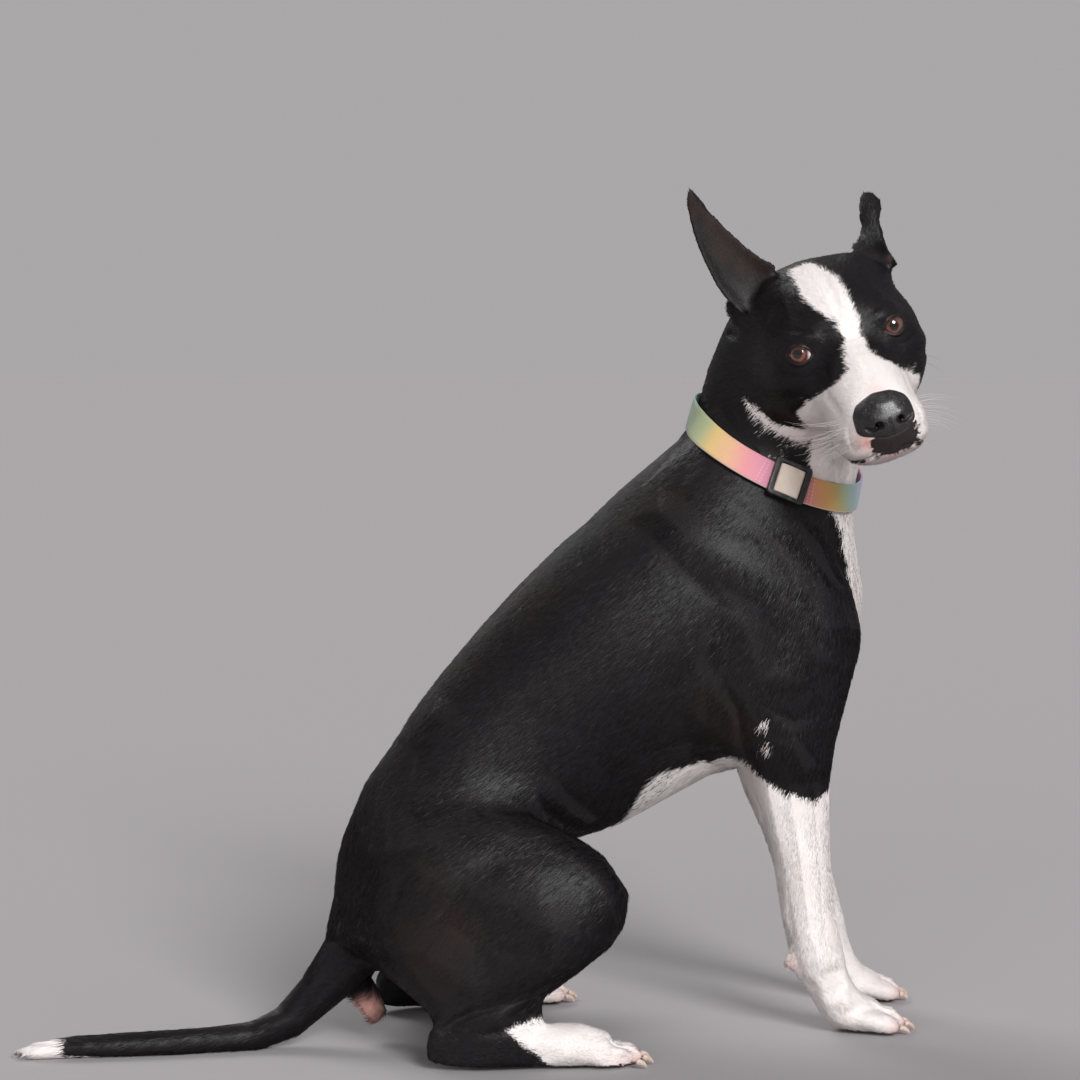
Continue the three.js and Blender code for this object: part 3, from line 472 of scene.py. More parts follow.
# the same for the head, in its own directions, on the right side
headLines = {
    "browRidge": [[(-14, -50, 15), (1, -43, 18), (10, -29, 14), (11, -19, 8)], 9, 1.0],
    "browCrease": [[(-32, -42, 30), (-14, -46, 23), (0, -38, 23), (8, -26, 20)], 4, -0.6],
    "browFoldHigh": [[(-54, -30, 43), (-34, -36, 38), (-18, -40, 32), (-10, -44, 27)], 5, 1.0],
    "underEye": [[(9, -29, -12), (2, -40, -17), (-10, -48, -15)], 4, -0.9],
    "tearGroove": [[(12, -27, -7), (22, -24, -15), (36, -25, -26)], 7, -0.9],
    "cheekBone": [[(4, -46, -22), (-16, -56, -25), (-42, -66, -27)], 11, 2.0],
    "cheekHollow": [[(14, -38, -34), (2, -47, -44), (-12, -54, -52)], 9, -1.6],
    "cheekMuscle": [[(-34, -66, -40), (-40, -66, -58)], 20, 2.2],
    "templeHollow": [[(-26, -46, 22), (-44, -48, 26)], 15, -1.8],
    "templeMuscle": [[(-52, -34, 48), (-74, -34, 46)], 20, 1.8],
    "muzzleGroove": [[(28, -30, -28), (46, -29, -34), (64, -26, -40)], 8, -1.3],
    "earNotch": [[(-96, -72, 4), (-85, -77, 10), (-74, -79, 12)], 9, -3.0],
    "whiskerPad": [[(58, -28, -58), (74, -22, -56)], 15, 2.2],
    "lipSwell": [[(22, -39, -66), (44, -36, -71), (66, -30, -70), (84, -18, -68)], 8, 1.6],
    "jawSwell": [[(10, -32, -88), (40, -24, -90), (66, -14, -88)], 10, 1.0],
    "throatFold": [[(-24, -46, -82), (-38, -52, -74), (-46, -62, -62)], 7, -1.4],
}
headMiddleLines = {
    "foreheadFurrow": [[(-70, 0, 56), (-44, 0, 48), (-18, 0, 34), (4, 0, 20)], 7, -1.5],
    "stop": [[(8, 0, 12), (18, 0, 4)], 13, -1.4],
    "noseBridge": [[(30, 0, -8), (60, 0, -22)], 11, 0.8],
}
mouthLine = [(91, -6, -74), (86, -18, -77), (70, -29, -80), (45, -34, -80), (22, -37, -76), (5, -40, -70)]


def mirrored(line, middle=0.0):
    return [(x, 2 * middle - y, z) for x, y, z in line]


def sculptLines(tree):
    # every line, on both sides of the dog, laid on the surface: its points, its width and its height
    def laid(line, place=np.asarray):
        return ontoSurface(tree, place(curveThrough(line, 14) if len(line) > 1 else line))

    for line, radius, height in bodyLines.values():
        for side in (line, mirrored(line, midPlane)):
            yield laid(side), radius, height * skinSizes["bodyRelief"]
    for line, radius, height in middleLines.values():
        yield laid([(x, midPlane + y, z) for x, y, z in line]), radius, height
    for line, radius, height in headLines.values():
        for side in (line, mirrored(line)):
            yield laid(side, fromHead), radius, height
    for line, radius, height in headMiddleLines.values():
        yield laid(line, fromHead), radius, height


# the toes
toeSizes = {
    "reach": 34.0, "heelBack": 1.9, "heelHeight": 16.0, "grooveWidth": 4.6, "grooveDepth": 2.2,
    "knuckle": 9.0, "knuckleRise": 1.4, "knuckleBack": 15.0,
}


def toeLines():
    # the line of each toe, from its claw back into the paw
    for paw in ("fore", "hind"):
        for side in sides:
            claws = np.array([middleOf(f"claw_{paw}_{side}{i}") for i in (1, 2, 3, 4)])
            back = claws[:, 0].min() - toeSizes["reach"] * toeSizes["heelBack"]
            yield claws, np.array([back, claws[:, 1].mean(), toeSizes["heelHeight"]])


def sculptToes(points, normals, tree):
    for claws, heel in toeLines():
        backs = [c + unit(heel - c) * toeSizes["reach"] for c in claws]
        order = np.argsort(claws[:, 1])
        for a, b in zip(order[:-1], order[1:]):
            start = (claws[a] + claws[b]) / 2 + (0, 0, 8)
            end = (backs[a] + backs[b]) / 2 + (0, 0, 14)
            line = ontoSurface(tree, curveThrough([start, (start + end) / 2 + (0, 0, 3), end], 10))
            stroke(points, normals, line, toeSizes["grooveWidth"], -toeSizes["grooveDepth"])
        for c in claws:
            knuckle = ontoSurface(tree, [c + unit(heel - c) * toeSizes["knuckleBack"] + (0, 0, 9)])
            stroke(points, normals, knuckle, toeSizes["knuckle"], toeSizes["knuckleRise"])


# the eyelids
lidSizes = {
    "ball": 11.0, "halfWidth": 10.4, "top": 6.6, "bottom": 6.2, "slant": 12.0, "thickness": 1.5,
    "behind": 1.6, "near": 26.0, "finerWithin": 19.0, "rim": 0.34, "rimEdge": 0.02,
}
opening = {"R": unit([0.93, -0.28, 0.22]), "L": unit([0.93, 0.28, 0.22])}
eyeCentre = {side: inHead(eyeMiddle[side]) for side in sides}


def openingAxes(side):
    # out of the opening, towards its outer corner, and up
    out = opening[side]
    lateral = np.array([0, -1.0 if side == "R" else 1.0, 0])
    across = unit(lateral - out * (lateral @ out))
    up = np.cross(out, across)
    up = up if up[2] > 0 else -up
    slant = math.radians(lidSizes["slant"])
    c, s = math.cos(slant), math.sin(slant)
    return out, across * c + up * s, up * c - across * s


def lidDistance(u, v):
    # how far a point is outside the almond between the lids, less than 0 inside it
    t = np.clip(u / lidSizes["halfWidth"], -1, 1)
    top = lidSizes["top"] * (1 - t * t) ** 0.72
    bottom = -lidSizes["bottom"] * (1 - t * t) ** 0.85
    inside = np.abs(v - (top + bottom) / 2) - (top - bottom) / 2
    beyond = np.hypot(np.abs(u) - lidSizes["halfWidth"], v)
    return np.where(np.abs(u) < lidSizes["halfWidth"], inside * 0.92, beyond)


def nearEye(h, side):
    # from the eye's middle: the way and its length, its three parts, and how far outside the lids' almond
    q = h - eyeCentre[side]
    out, across, up = openingAxes(side)
    u, v, w = q @ across, q @ up, q @ out
    f = np.where(w > 0, lidDistance(u, v), 99)
    return q, np.linalg.norm(q, axis=1), u, v, w, f


def outsideLids(h, side):
    return nearEye(h, side)[5]


def sculptLids(points):
    h = inHead(points)
    ball, thick = lidSizes["ball"], lidSizes["thickness"]
    for side in sides:
        q, r, u, v, w, f = nearEye(h, side)
        _, across, up = openingAxes(side)
        near = (r < lidSizes["near"]) & (w > 0)
        # the rim is drawn to the almond's edge
        rim = near & (np.abs(f) < lidSizes["rim"])
        step = 0.05
        slope = np.stack([(lidDistance(u + step, v) - lidDistance(u - step, v)) / (2 * step),
                          (lidDistance(u, v + step) - lidDistance(u, v - step)) / (2 * step)], 1)
        slope = slope / np.maximum(np.linalg.norm(slope, axis=1, keepdims=True), 0.3)
        move = -(f - lidSizes["rimEdge"])[:, None] * slope
        q = q + np.where(rim[:, None], move[:, :1] * across + move[:, 1:] * up, 0)
        f = np.where(rim, lidSizes["rimEdge"], f)
        r = np.linalg.norm(q, axis=1)
        cover = ball + thick + 0.5 * np.exp(-((f - 2.2) / 1.4) ** 2) - 0.55 * np.exp(-((f - 5.2) / 1.0) ** 2)
        cover = cover - 3.0 * ease(f, 5, 13)
        wanted = np.where(f > 0, np.maximum(r, cover), ball - lidSizes["behind"])
        fold = (f > 0) & (f < 3.5)
        wanted = np.where(fold, r + (cover - r) * (1 - ease(f, 1.5, 3.5)), wanted)
        wanted = np.where(f > 0, np.maximum(wanted, ball + 0.9), wanted)
        q = np.where(near[:, None], q * (wanted / np.maximum(r, 1e-6))[:, None], q)
        h = eyeCentre[side] + q
    return fromHead(h)


def fromNose(h):
    # distance from the middle of the nose leather, 1 at about its edge
    return np.linalg.norm((h - inHead(middleOf("nose"))) / skinSizes["noseReach"], axis=1)


def sculptNoseBed(points, normals):
    # the skin dips under the nose leather
    dip = 1 - ease(fromNose(inHead(points)), 0.66, 0.96)
    points -= normals * (skinSizes["noseBedDepth"] * dip)[:, None]


def refineEyes(mesh):
    # halves the edges round both eyes
    points = coordsOf(mesh)
    d = np.min([np.linalg.norm(points - eyeMiddle[side], axis=1) for side in sides], 0)
    divide(mesh, d < lidSizes["finerWithin"])


# small forms that the solids leave out: under the tail, and the roll of skin at the foot of the right ear
bodySwellings = [((-109, midPlane, 44), (13, 11, 17)), ((-99, midPlane, 27), (12, 13, 13))]
earSwellings = [((-84, -75, 33), (10, 11, 13))]
# how far the haunch stands out from the middle, along the body, and where its edge begins to fall away
haunchOut = np.array([(-110, 100), (-60, 121), (-20, 137), (20, 148), (60, 148), (95, 138)])
haunchSizes = {"roundFrom": 110.0, "roundOver": 115.0, "fall": 0.5, "share": 0.85}
earPinch = {"back": -107.0, "middle": 66.0, "along": 9.0, "share": 0.26}


def roundHaunches(points):
    # the upper outer edge of the haunch falls away in a curve
    x, y, z = points.T
    rise = np.clip((z - haunchSizes["roundFrom"]) / haunchSizes["roundOver"], 0, 1)
    cap = np.interp(x, *haunchOut.T) * (1 - haunchSizes["fall"] * rise ** 2.6)
    out = np.abs(y - midPlane)
    over = np.maximum(out - cap, 0) * (x < 100) * (1 - ease(z, 235, 260))
    points[:, 1] -= np.sign(y - midPlane) * over * haunchSizes["share"]
    return points


def pinchEar(points):
    # the folded ear is narrowest half-way up
    h = inHead(points)
    near = nearNode(points, 6, "ear_L") * np.exp(-((h[:, 0] - earPinch["back"]) / earPinch["along"]) ** 2)
    h[:, 1] -= (h[:, 1] - earPinch["middle"]) * earPinch["share"] * near
    return fromHead(h)


def shapeSkin():
    thick = [n for n in flesh if n not in earNodes] + ["nose", "eye_R", "eye_L"]
    swellings = bodySwellings + [(fromHead([place])[0], reach) for place, reach in earSwellings]
    skin = voxelSkin("skin", thick, skinSizes["grow"], skinSizes["voxel"],
                     thin=earNodes, thinGrow=skinSizes["earGrow"], swellings=swellings)
    mesh = skin.data
    print("skin remeshed", len(mesh.polygons))
    points = roundHaunches(coordsOf(mesh))
    h, head, ears, paws, limbs = regions(points)
    edges = edgesOf(mesh)
    fine = np.max([head, ears, paws, limbs], 0)
    points = relax(points, edges, 0.5 * (1 - fine), skinSizes["trunkRounds"])
    points = relax(points, edges, 0.5 * np.clip(np.maximum(head, limbs) - np.maximum(ears, paws), 0, 1),
                   skinSizes["headRounds"])
    points = pinchEar(relax(points, edges, 0.5 * np.maximum(ears, paws), skinSizes["fineRounds"]))
    setCoords(mesh, pressUnderCollar(points))
    divide(mesh, ease(h[:, 0], -40, -20) * head > 0.4)
    refineEyes(mesh)
    points = relax(coordsOf(mesh), edgesOf(mesh), 0.4, 1)
    setCoords(mesh, points)
    print("skin refined", len(mesh.polygons))

    h, head, ears, paws, limbs = regions(points)
    normals = normalsOf(mesh)
    tree = treeOf(mesh)
    points = points - normals * (skinSizes["coatDepth"] * (1 - 0.5 * np.maximum(ears, paws)))[:, None]
    for line, radius, height in sculptLines(tree):
        stroke(points, normals, line, radius, height)
    for side in (mouthLine, mirrored(mouthLine)):
        lip = ontoSurface(tree, fromHead(curveThrough(side, 30)))
        stroke(points, normals, lip, skinSizes["mouthWidth"], -skinSizes["mouthDepth"])
    sculptToes(points, normals, tree)
    sculptNoseBed(points, normals)
    points = pressUnderCollar(sculptLids(points))
    points[:, 2] = np.maximum(points[:, 2], skinSizes["floorGap"])
    setCoords(mesh, points)
    thinPlainStretches(skin, head, ears, paws)
    return skin


def thinPlainStretches(skin, head, ears, paws):
    # the plain stretches of the body get larger faces than the head, the ears and the paws
    group = skin.vertex_groups.new(name="plainStretch")
    plain = 1 - np.max([head, ears, paws], 0)
    plain = np.where(np.max([head, ears], 0) > 0.02, 0, 0.25 + 0.75 * plain)
    for level in (0.25, 0.5, 0.75, 1.0):
        chosen = np.where((plain > level - 0.125) & (plain <= level + 0.125))[0]
        group.add(chosen.tolist(), level, "REPLACE")
    now = len(trianglesOf(skin.data))
    thin = skin.modifiers.new("thin", "DECIMATE")
    thin.decimate_type = "COLLAPSE"
    thin.ratio = min(1, skinSizes["triangles"] / now)
    thin.use_collapse_triangulate = True
    thin.vertex_group = "plainStretch"
    mesh = evaluated(skin)
    shadeSmooth(mesh)
    print("skin shaped", now, "to", len(mesh.polygons))


skin = shapeSkin()
for name in flesh:
    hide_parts(name)
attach(skin, "root")


# markings: how far each point lies inside the white, in millimetres, and the other tones from 0 to 1
# the blaze: height on the face, its right edge and its left edge
blaze = np.array([(-46, -58, 58), (-40, -47.5, 36), (-33, -26.5, 30), (-25, -12, 18.5), (-16, -9.9, 11.2),
                  (0, -4.0, 11.2), (17, -5.6, 11.1), (33, -16.2, 11.2), (50, -21.8, 10.9),
                  (73, -20, 0.6), (92, -10, -8)])
cheekBottom = np.array([(-61, -42), (-50, -52), (-45, -67), (-37, -76), (-9, -64.5), (2, -52), (8, -40)])
throatBack = np.array([(-125, -30), (-106, -29), (-97, -38), (-82, -44), (-60, -53), (-42, -62), (-30, -67)])
bibEdge = np.array([(284, 300), (312, 288), (346, 297), (372, 293), (392, 300), (411, 304),
                    (425, 292), (451, 291)])
breastHalf = np.array([(284, 34), (310, 52), (350, 61), (420, 60), (450, 54), (470, 47)])
bellyTop = np.array([(104, 176), (117, 189), (125, 214), (133, 229), (173, 240), (209, 242), (240, 250)])
foreJag = np.array([(204, 246), (212, 239), (224, 226), (243, 214), (266, 209), (283, 220), (300, 232)])
whiteSpots = [((221, -55, 256), 4.5), ((218, -59, 276), 3.5)]
whiteSizes = {"midline": 24.0, "bellyHalf": 62.0, "throat": 44.0, "tailTip": 42.0}


def atHeight(table, x, column=1):
    return np.interp(x, table[:, 0], table[:, column])


def whiteness(points):
    h = inHead(points)
    x, y, z = points.T
    hx, hy, hz = h.T
    side = np.abs(y - midPlane)
    inHeadBox = 1 - ease(outsideBox(h, np.array([-125, -76, -92]), np.array([104, 76, 70])), 0, 12)
    height = 0.945 * hz - 0.327 * hx  # up the slope of the face
    stripe = np.minimum(hy - atHeight(blaze, height), atHeight(blaze, height, 2) - hy)
    stripe = np.where(height > 92, -20, stripe)
    stripe = np.where((hz < -20) & (hx < -8), -30, stripe)
    stripe = np.minimum(stripe, hx + 74)
    muzzle = np.minimum(hx - np.interp(hz, [-64, -40], [-9, 4.6]), -38 - height)
    under = np.minimum(np.interp(hx, *cheekBottom.T) - hz, hx - np.interp(hz, *throatBack.T))
    face = np.max([stripe, muzzle, under], 0)
    face = np.where(inHeadBox > 0.02, face, -30)

    throat = fromHead([(-20, 0, -90)])[0]
    line, _ = toLine(points, [throat, (322, midPlane, 440)])
    neck = np.minimum(whiteSizes["throat"] - line, (x + 0.83 * z - 665) * 0.77)
    neck = np.where(z < 430, -30, neck)
    bib = np.minimum(x - np.interp(z, *bibEdge.T), np.interp(z, *breastHalf.T) - side)
    bib = np.where(z > 470, -30, np.minimum(bib, (z - 284) * 0.6))
    band = np.where((x > 120) & (z < 330), whiteSizes["midline"] - side, -30)
    band = np.minimum(band, 330 - z)
    belly = np.min([np.interp(x, *bellyTop.T) - z, (x - 108) * 0.9,
                    whiteSizes["bellyHalf"] - side, 262 - x], 0)
    belly = np.where(z < 150, -30, belly)
    legs = np.max([nearNode(points, 24, n) for n in ("forearm_R", "forearm_L", "forepaw_R", "forepaw_L")], 0)
    fore = np.where((x > 190) & (z < 262) & (legs > 0.02), np.interp(x, *foreJag.T) - z, -30)
    hind = np.minimum((x + 15 - (33 - z) * 1.2) * 0.64, 40 + 0.15 * x - z)
    hind = np.where(x < 160, hind, -30)
    spots = np.full(len(points), -30.0)
    for spot, reach in whiteSpots:
        for place in (spot, mirrored([spot], midPlane)[0]):
            spots = np.maximum(spots, reach - np.linalg.norm(points - np.array(place), axis=1))
    tip = boxOf("tail_end")[0][0] + whiteSizes["tailTip"] - x
    return np.clip(np.max([face, neck, bib, band, belly, fore, hind, spots, tip], 0), -30, 30)


# warm tones: place, how far it reaches and how strong it is; head places are in the head's directions
bodyPink = {
    "elbow": [(221, -55, 256), 5, 0.5], "wristPad": [(247, -30, 62), 10, 0.9],
    "underTail": [(-106, 35.85, 31), 21, 1.0],
}
headPink = {
    "besideNose": [(88, -19, -60), 9, 0.9], "overNose": [(80, 0, -22), 9, 0.35],
    "lipMiddle": [(88, 0, -83), 13, 0.9], "lipRight": [(74, -24, -84), 9, 0.7],
    "lipLeft": [(74, 24, -84), 9, 0.7], "throat": [(-24, -60, -92), 30, 0.3],
    "earFold": [(-66, 64, 38), 11, 0.5],
}
toePink = {"reach": 12.0, "strength": 0.75}
bodyBrown = {
    "behindElbowR": [(182, -50, 290), 32, 0.8], "behindElbowL": [(182, 122, 290), 32, 0.8],
    "thighR": [(-60, -80, 120), 50, 0.6], "thighL": [(-60, 152, 120), 50, 0.6],
}
backBrown = 0.55
# the dark patch under the nose: its middle, across and up, and half its size; then the freckles beside it
pigmentSizes = {"middle": (4, -64), "half": (24, 21), "ragged": 0.07, "legs": 0.08, "soles": 0.8}
freckles = {
    "padRight": [(60, -32, -62), 17, 0.14], "padLeft": [(60, 32, -62), 17, 0.14],
    "lipRight": [(81, -22, -76), 9, 0.4],
}


def blob(points, place, reach):
    return np.exp(-(np.linalg.norm(points - np.asarray(place, float), axis=1) / reach) ** 2)


def pinkness(points):
    h = inHead(points)
    out = np.zeros(len(points))
    for place, reach, strength in bodyPink.values():
        for spot in (place, mirrored([place], midPlane)[0]):
            out = np.maximum(out, strength * blob(points, spot, reach))
    for place, reach, strength in headPink.values():
        out = np.maximum(out, strength * blob(h, place, reach))
    for claws, _ in toeLines():
        for claw in claws:
            out = np.maximum(out, toePink["strength"] * blob(points, claw - (6, 0, 4), toePink["reach"]))
    return np.clip(out, 0, 1)


def brownness(points, normals):
    z = points[:, 2]
    back = ease(normals[:, 0] * -0.4 + normals[:, 2], 0.55, 1.0) * ease(z, 120, 300) * (1 - ease(z, 470, 520))
    patches = sum(strength * blob(points, place, reach) for place, reach, strength in bodyBrown.values())
    ears = 0
    h = inHead(points)
    for side, s in (("R", -0.5), ("L", 0.5)):
        inside = nearNode(points, 4, f"ear_{side}") * ease(h[:, 2], 34, 46)
        facing = normals @ (headForward + headLeft * s)
        ears = np.maximum(ears, inside * ease(facing, 0.4, 0.9) * ease(h[:, 2], 34, 70))
    return np.clip(backBrown * back + patches + ears, 0, 1)


def darkness(points):
    # dark pigment: under the nose, along the lips and round the eyes
    h = inHead(points)
    ragged = pigmentSizes["ragged"] * np.sin(h[:, 1] * 0.6 + 0.7) * np.sin(h[:, 2] * 0.8)
    across, up = ((h[:, 1:] - pigmentSizes["middle"]) / pigmentSizes["half"]).T
    patch = 1 - ease(np.hypot(across, up) + ragged, 0.6, 1.12)
    under = patch * ease(h[:, 0], 50, 66) * ease(h[:, 2], -80, -75)
    spots = np.max([strength * blob(h, place, reach) for place, reach, strength in freckles.values()], 0)
    legs = np.max([nearNode(points, 4, n) for n in pawNodes[:2]], 0)
    legs = pigmentSizes["legs"] * ease(150 - points[:, 2], 0, 60) * legs
    behindNose = 1 - ease(fromNose(h), 0.8, 0.9)
    under = np.max([under, spots, legs, behindNose], 0)
    lips = np.zeros(len(points))
    for side in (mouthLine, mirrored(mouthLine)):
        d, _ = toLine(h, side)
        lips = np.maximum(lips, 1 - ease(d, 1.5, 4.0))
    lids = np.zeros(len(points))
    for side in sides:
        lids = np.maximum(lids, 1 - ease(outsideLids(h, side), 1.2, 2.6))
    soles = np.max([nearNode(points, 4, n) for n in pawNodes], 0) * (1 - ease(points[:, 2], 2.5, 6))
    return np.clip(np.max([under, lips, lids, pigmentSizes["soles"] * soles], 0), 0, 1), lids


def addTones(mesh, places, normals, jitter=0, repeat=1):
    dark, lids = darkness(places)
    tones = {"white": whiteness(places) + jitter, "pink": pinkness(places),
             "brown": brownness(places, normals), "dark": dark, "lids": lids, "place": places * mm}
    for name, values in tones.items():
        setAttribute(mesh, name, np.repeat(values, repeat, axis=0))


addTones(skin.data, coordsOf(skin.data), normalsOf(skin.data))
print("markings laid")


# materials

def attribute(tree, name):
    node = tree.nodes.new("ShaderNodeAttribute")
    node.attribute_name = name
    return node


def mathNode(tree, operation, a, b=None, c=None):
    node = tree.nodes.new("ShaderNodeMath")
    node.operation = operation
    for socket, value in zip(node.inputs, (a, b, c)):
        if value is None:
            continue
        if isinstance(value, (int, float)):
            socket.default_value = value
        else:
            tree.links.new(value, socket)
    return node.outputs[0]


def rangeNode(tree, value, low, high, toLow=0.0, toHigh=1.0):
    node = tree.nodes.new("ShaderNodeMapRange")
    node.interpolation_type = "SMOOTHSTEP"
    tree.links.new(value, node.inputs["Value"])
    for name, number in (("From Min", low), ("From Max", high), ("To Min", toLow), ("To Max", toHigh)):
        node.inputs[name].default_value = number
    return node.outputs["Result"]


def noiseNode(tree, vector, scale, detail=2.0, rough=0.5):
    node = tree.nodes.new("ShaderNodeTexNoise")
    node.inputs["Scale"].default_value = scale
    node.inputs["Detail"].default_value = detail
    node.inputs["Roughness"].default_value = rough
    tree.links.new(vector, node.inputs["Vector"])
    return node.outputs["Fac"]


def mixColour(tree, share, a, b, blend="MIX"):
    node = tree.nodes.new("ShaderNodeMix")
    node.data_type = "RGBA"
    node.blend_type = blend
    for socket, value in ((node.inputs[0], share), (node.inputs[6], a), (node.inputs[7], b)):
        if isinstance(value, (int, float)):
            socket.default_value = value
        elif isinstance(value, tuple):
            socket.default_value = value + (1,)
        else:
            tree.links.new(value, socket)
    return node.outputs[2]


def swayed(tree, noise, amount, base=0.0):
    # a noise about its own middle, times an amount, added to a base
    return mathNode(tree, "MULTIPLY_ADD", mathNode(tree, "SUBTRACT", noise, 0.5), amount, base)


def objectPlace(tree):
    return tree.nodes.new("ShaderNodeTexCoord").outputs["Object"]


shaderSockets = {
    "base": "Base Color", "rough": "Roughness", "metal": "Metallic", "coat": "Coat Weight",
    "coatRough": "Coat Roughness", "specular": "Specular IOR Level", "sheen": "Sheen Weight",
    "sheenRough": "Sheen Roughness",
}


def newMaterial(name, **constants):
    material = bpy.data.materials.new(name)
    material.use_nodes = True
    shader = material.node_tree.nodes["Principled BSDF"]
    for key, value in constants.items():
        shader.inputs[shaderSockets[key]].default_value = value + (1,) if isinstance(value, tuple) else value
    return material, material.node_tree, shader


def colourRamp(tree, share, stops):
    # colours at rising places from 0 to 1
    ramp = tree.nodes.new("ShaderNodeValToRGB")
    tree.links.new(share, ramp.inputs["Fac"])
    marks = ramp.color_ramp.elements
    for mark, (place, colour) in zip(marks, (stops[0], stops[-1])):
        mark.position, mark.color = place, colour + (1,)
    for place, colour in stops[1:-1]:
        marks.new(place).color = colour + (1,)
    return ramp.outputs["Color"]


def bumpInto(tree, shader, height, strength, distance):
    node = tree.nodes.new("ShaderNodeBump")
    node.inputs["Strength"].default_value = strength
    node.inputs["Distance"].default_value = distance * mm
    tree.links.new(height, node.inputs["Height"])
    tree.links.new(node.outputs["Normal"], shader.inputs["Normal"])


def groupOf(name, inputs, outputs, kindOfTree="ShaderNodeTree"):
    tree = bpy.data.node_groups.new(name, kindOfTree)
    for label, kind, value in inputs:
        socket = tree.interface.new_socket(name=label, in_out="INPUT", socket_type=kind)
        if value is not None:
            socket.default_value = value
    for label, kind in outputs:
        tree.interface.new_socket(name=label, in_out="OUTPUT", socket_type=kind)
    return tree, tree.nodes.new("NodeGroupInput"), tree.nodes.new("NodeGroupOutput")


coatColours = {
    "black": (0.0048, 0.0042, 0.0050), "blackLight": (0.013, 0.011, 0.012), "brown": (0.026, 0.014, 0.011),
    "white": (0.86, 0.815, 0.80), "cream": (0.74, 0.64, 0.60), "pink": (0.64, 0.34, 0.29),
    "pigment": (0.028, 0.020, 0.021), "lid": (0.020, 0.010, 0.009),
}
edgeWander = 9.0  # the width over which the edge of the white strays, in millimetres


def coatGroup():
    # the dog's colours from the tones laid on the skin and on every tuft
    tree, given, made = groupOf("coatColours", [
        ("Edge", "NodeSocketFloat", 2.2), ("Speckle", "NodeSocketFloat", 1.0),
        ("Variation", "NodeSocketFloat", 1.0)], [
        ("Color", "NodeSocketColor"), ("White", "NodeSocketFloat"), ("Bare", "NodeSocketFloat")])
    place = attribute(tree, "place").outputs["Vector"]
    white = attribute(tree, "white").outputs["Fac"]
    broad = noiseNode(tree, place, 75, 3)
    fine = noiseNode(tree, place, 520, 2)
    shift = swayed(tree, broad, edgeWander)
    shift = swayed(tree, fine, mathNode(tree, "MULTIPLY", given.outputs["Speckle"], edgeWander), shift)
    level = mathNode(tree, "DIVIDE", mathNode(tree, "ADD", white, shift), given.outputs["Edge"])
    mask = rangeNode(tree, level, -1, 1)
    patch = noiseNode(tree, place, 22, 3)
    hair = noiseNode(tree, place, 900, 1)
    black = mixColour(tree, mathNode(tree, "MULTIPLY", hair, given.outputs["Variation"]),
                      coatColours["black"], coatColours["blackLight"])
    brown = attribute(tree, "brown").outputs["Fac"]
    brown = mathNode(tree, "MULTIPLY", brown, rangeNode(tree, patch, 0.3, 0.75))
    black = mixColour(tree, brown, black, coatColours["brown"])
    cream = rangeNode(tree, patch, 0.42, 0.8, 0.0, 0.55)
    pale = mixColour(tree, cream, coatColours["white"], coatColours["cream"])
    pale = mixColour(tree, mathNode(tree, "MULTIPLY", hair, 0.30), pale, coatColours["cream"])
    colour = mixColour(tree, mask, black, pale)
    pink = attribute(tree, "pink").outputs["Fac"]
    shown = mathNode(tree, "MAXIMUM", mask, rangeNode(tree, pink, 0.35, 0.9))
    colour = mixColour(tree, mathNode(tree, "MULTIPLY", pink, shown), colour, coatColours["pink"])
    dark = attribute(tree, "dark").outputs["Fac"]
    mottle = rangeNode(tree, swayed(tree, noiseNode(tree, place, 260, 2), 1.5, dark), 0.38, 0.68)
    mottle = mathNode(tree, "MULTIPLY", mottle, rangeNode(tree, dark, 0.02, 0.2))
    colour = mixColour(tree, mottle, colour, coatColours["pigment"])
    lids = attribute(tree, "lids").outputs["Fac"]
    colour = mixColour(tree, lids, colour, coatColours["lid"])
    tree.links.new(colour, made.inputs["Color"])
    tree.links.new(mask, made.inputs["White"])
    bare = mathNode(tree, "MAXIMUM", mathNode(tree, "MULTIPLY", pink, 0.6), dark)
    tree.links.new(mathNode(tree, "MAXIMUM", lids, bare), made.inputs["Bare"])
    return tree


coatTree = coatGroup()


def coatMaterial(name, edge, speckle, bump=0):
    material, tree, shader = newMaterial(name, specular=0.26)
    group = tree.nodes.new("ShaderNodeGroup")
    group.node_tree = coatTree
    group.inputs["Edge"].default_value = edge
    group.inputs["Speckle"].default_value = speckle
    tree.links.new(group.outputs["Color"], shader.inputs["Base Color"])
    rough = mathNode(tree, "MULTIPLY_ADD", group.outputs["White"], 0.20, 0.44)
    rough = mathNode(tree, "MULTIPLY_ADD", attribute(tree, "brown").outputs["Fac"], 0.22, rough)
    rough = mathNode(tree, "MULTIPLY_ADD", group.outputs["Bare"], -0.06, rough)
    tree.links.new(rough, shader.inputs["Roughness"])
    if bump:
        place = attribute(tree, "place").outputs["Vector"]
        height = mathNode(tree, "ADD", noiseNode(tree, place, 900, 2), noiseNode(tree, place, 140, 2))
        bumpInto(tree, shader, height, 0.5, bump)
    return material


skin.data.materials.append(coatMaterial("coatOnSkin", edge=1.6, speckle=1.0, bump=0.5))
print("coat material ready")


# the eyes
eyeSizes = {
    "pupil": 3.35, "bulge": 1.1, "bulgeEdge": (4.5, 8.2), "rings": 56, "around": 48, "reach": 12.0,
    "gazeR": (0.85, -0.40, 0.35), "gazeL": (0.965, 0.09, 0.22),
}


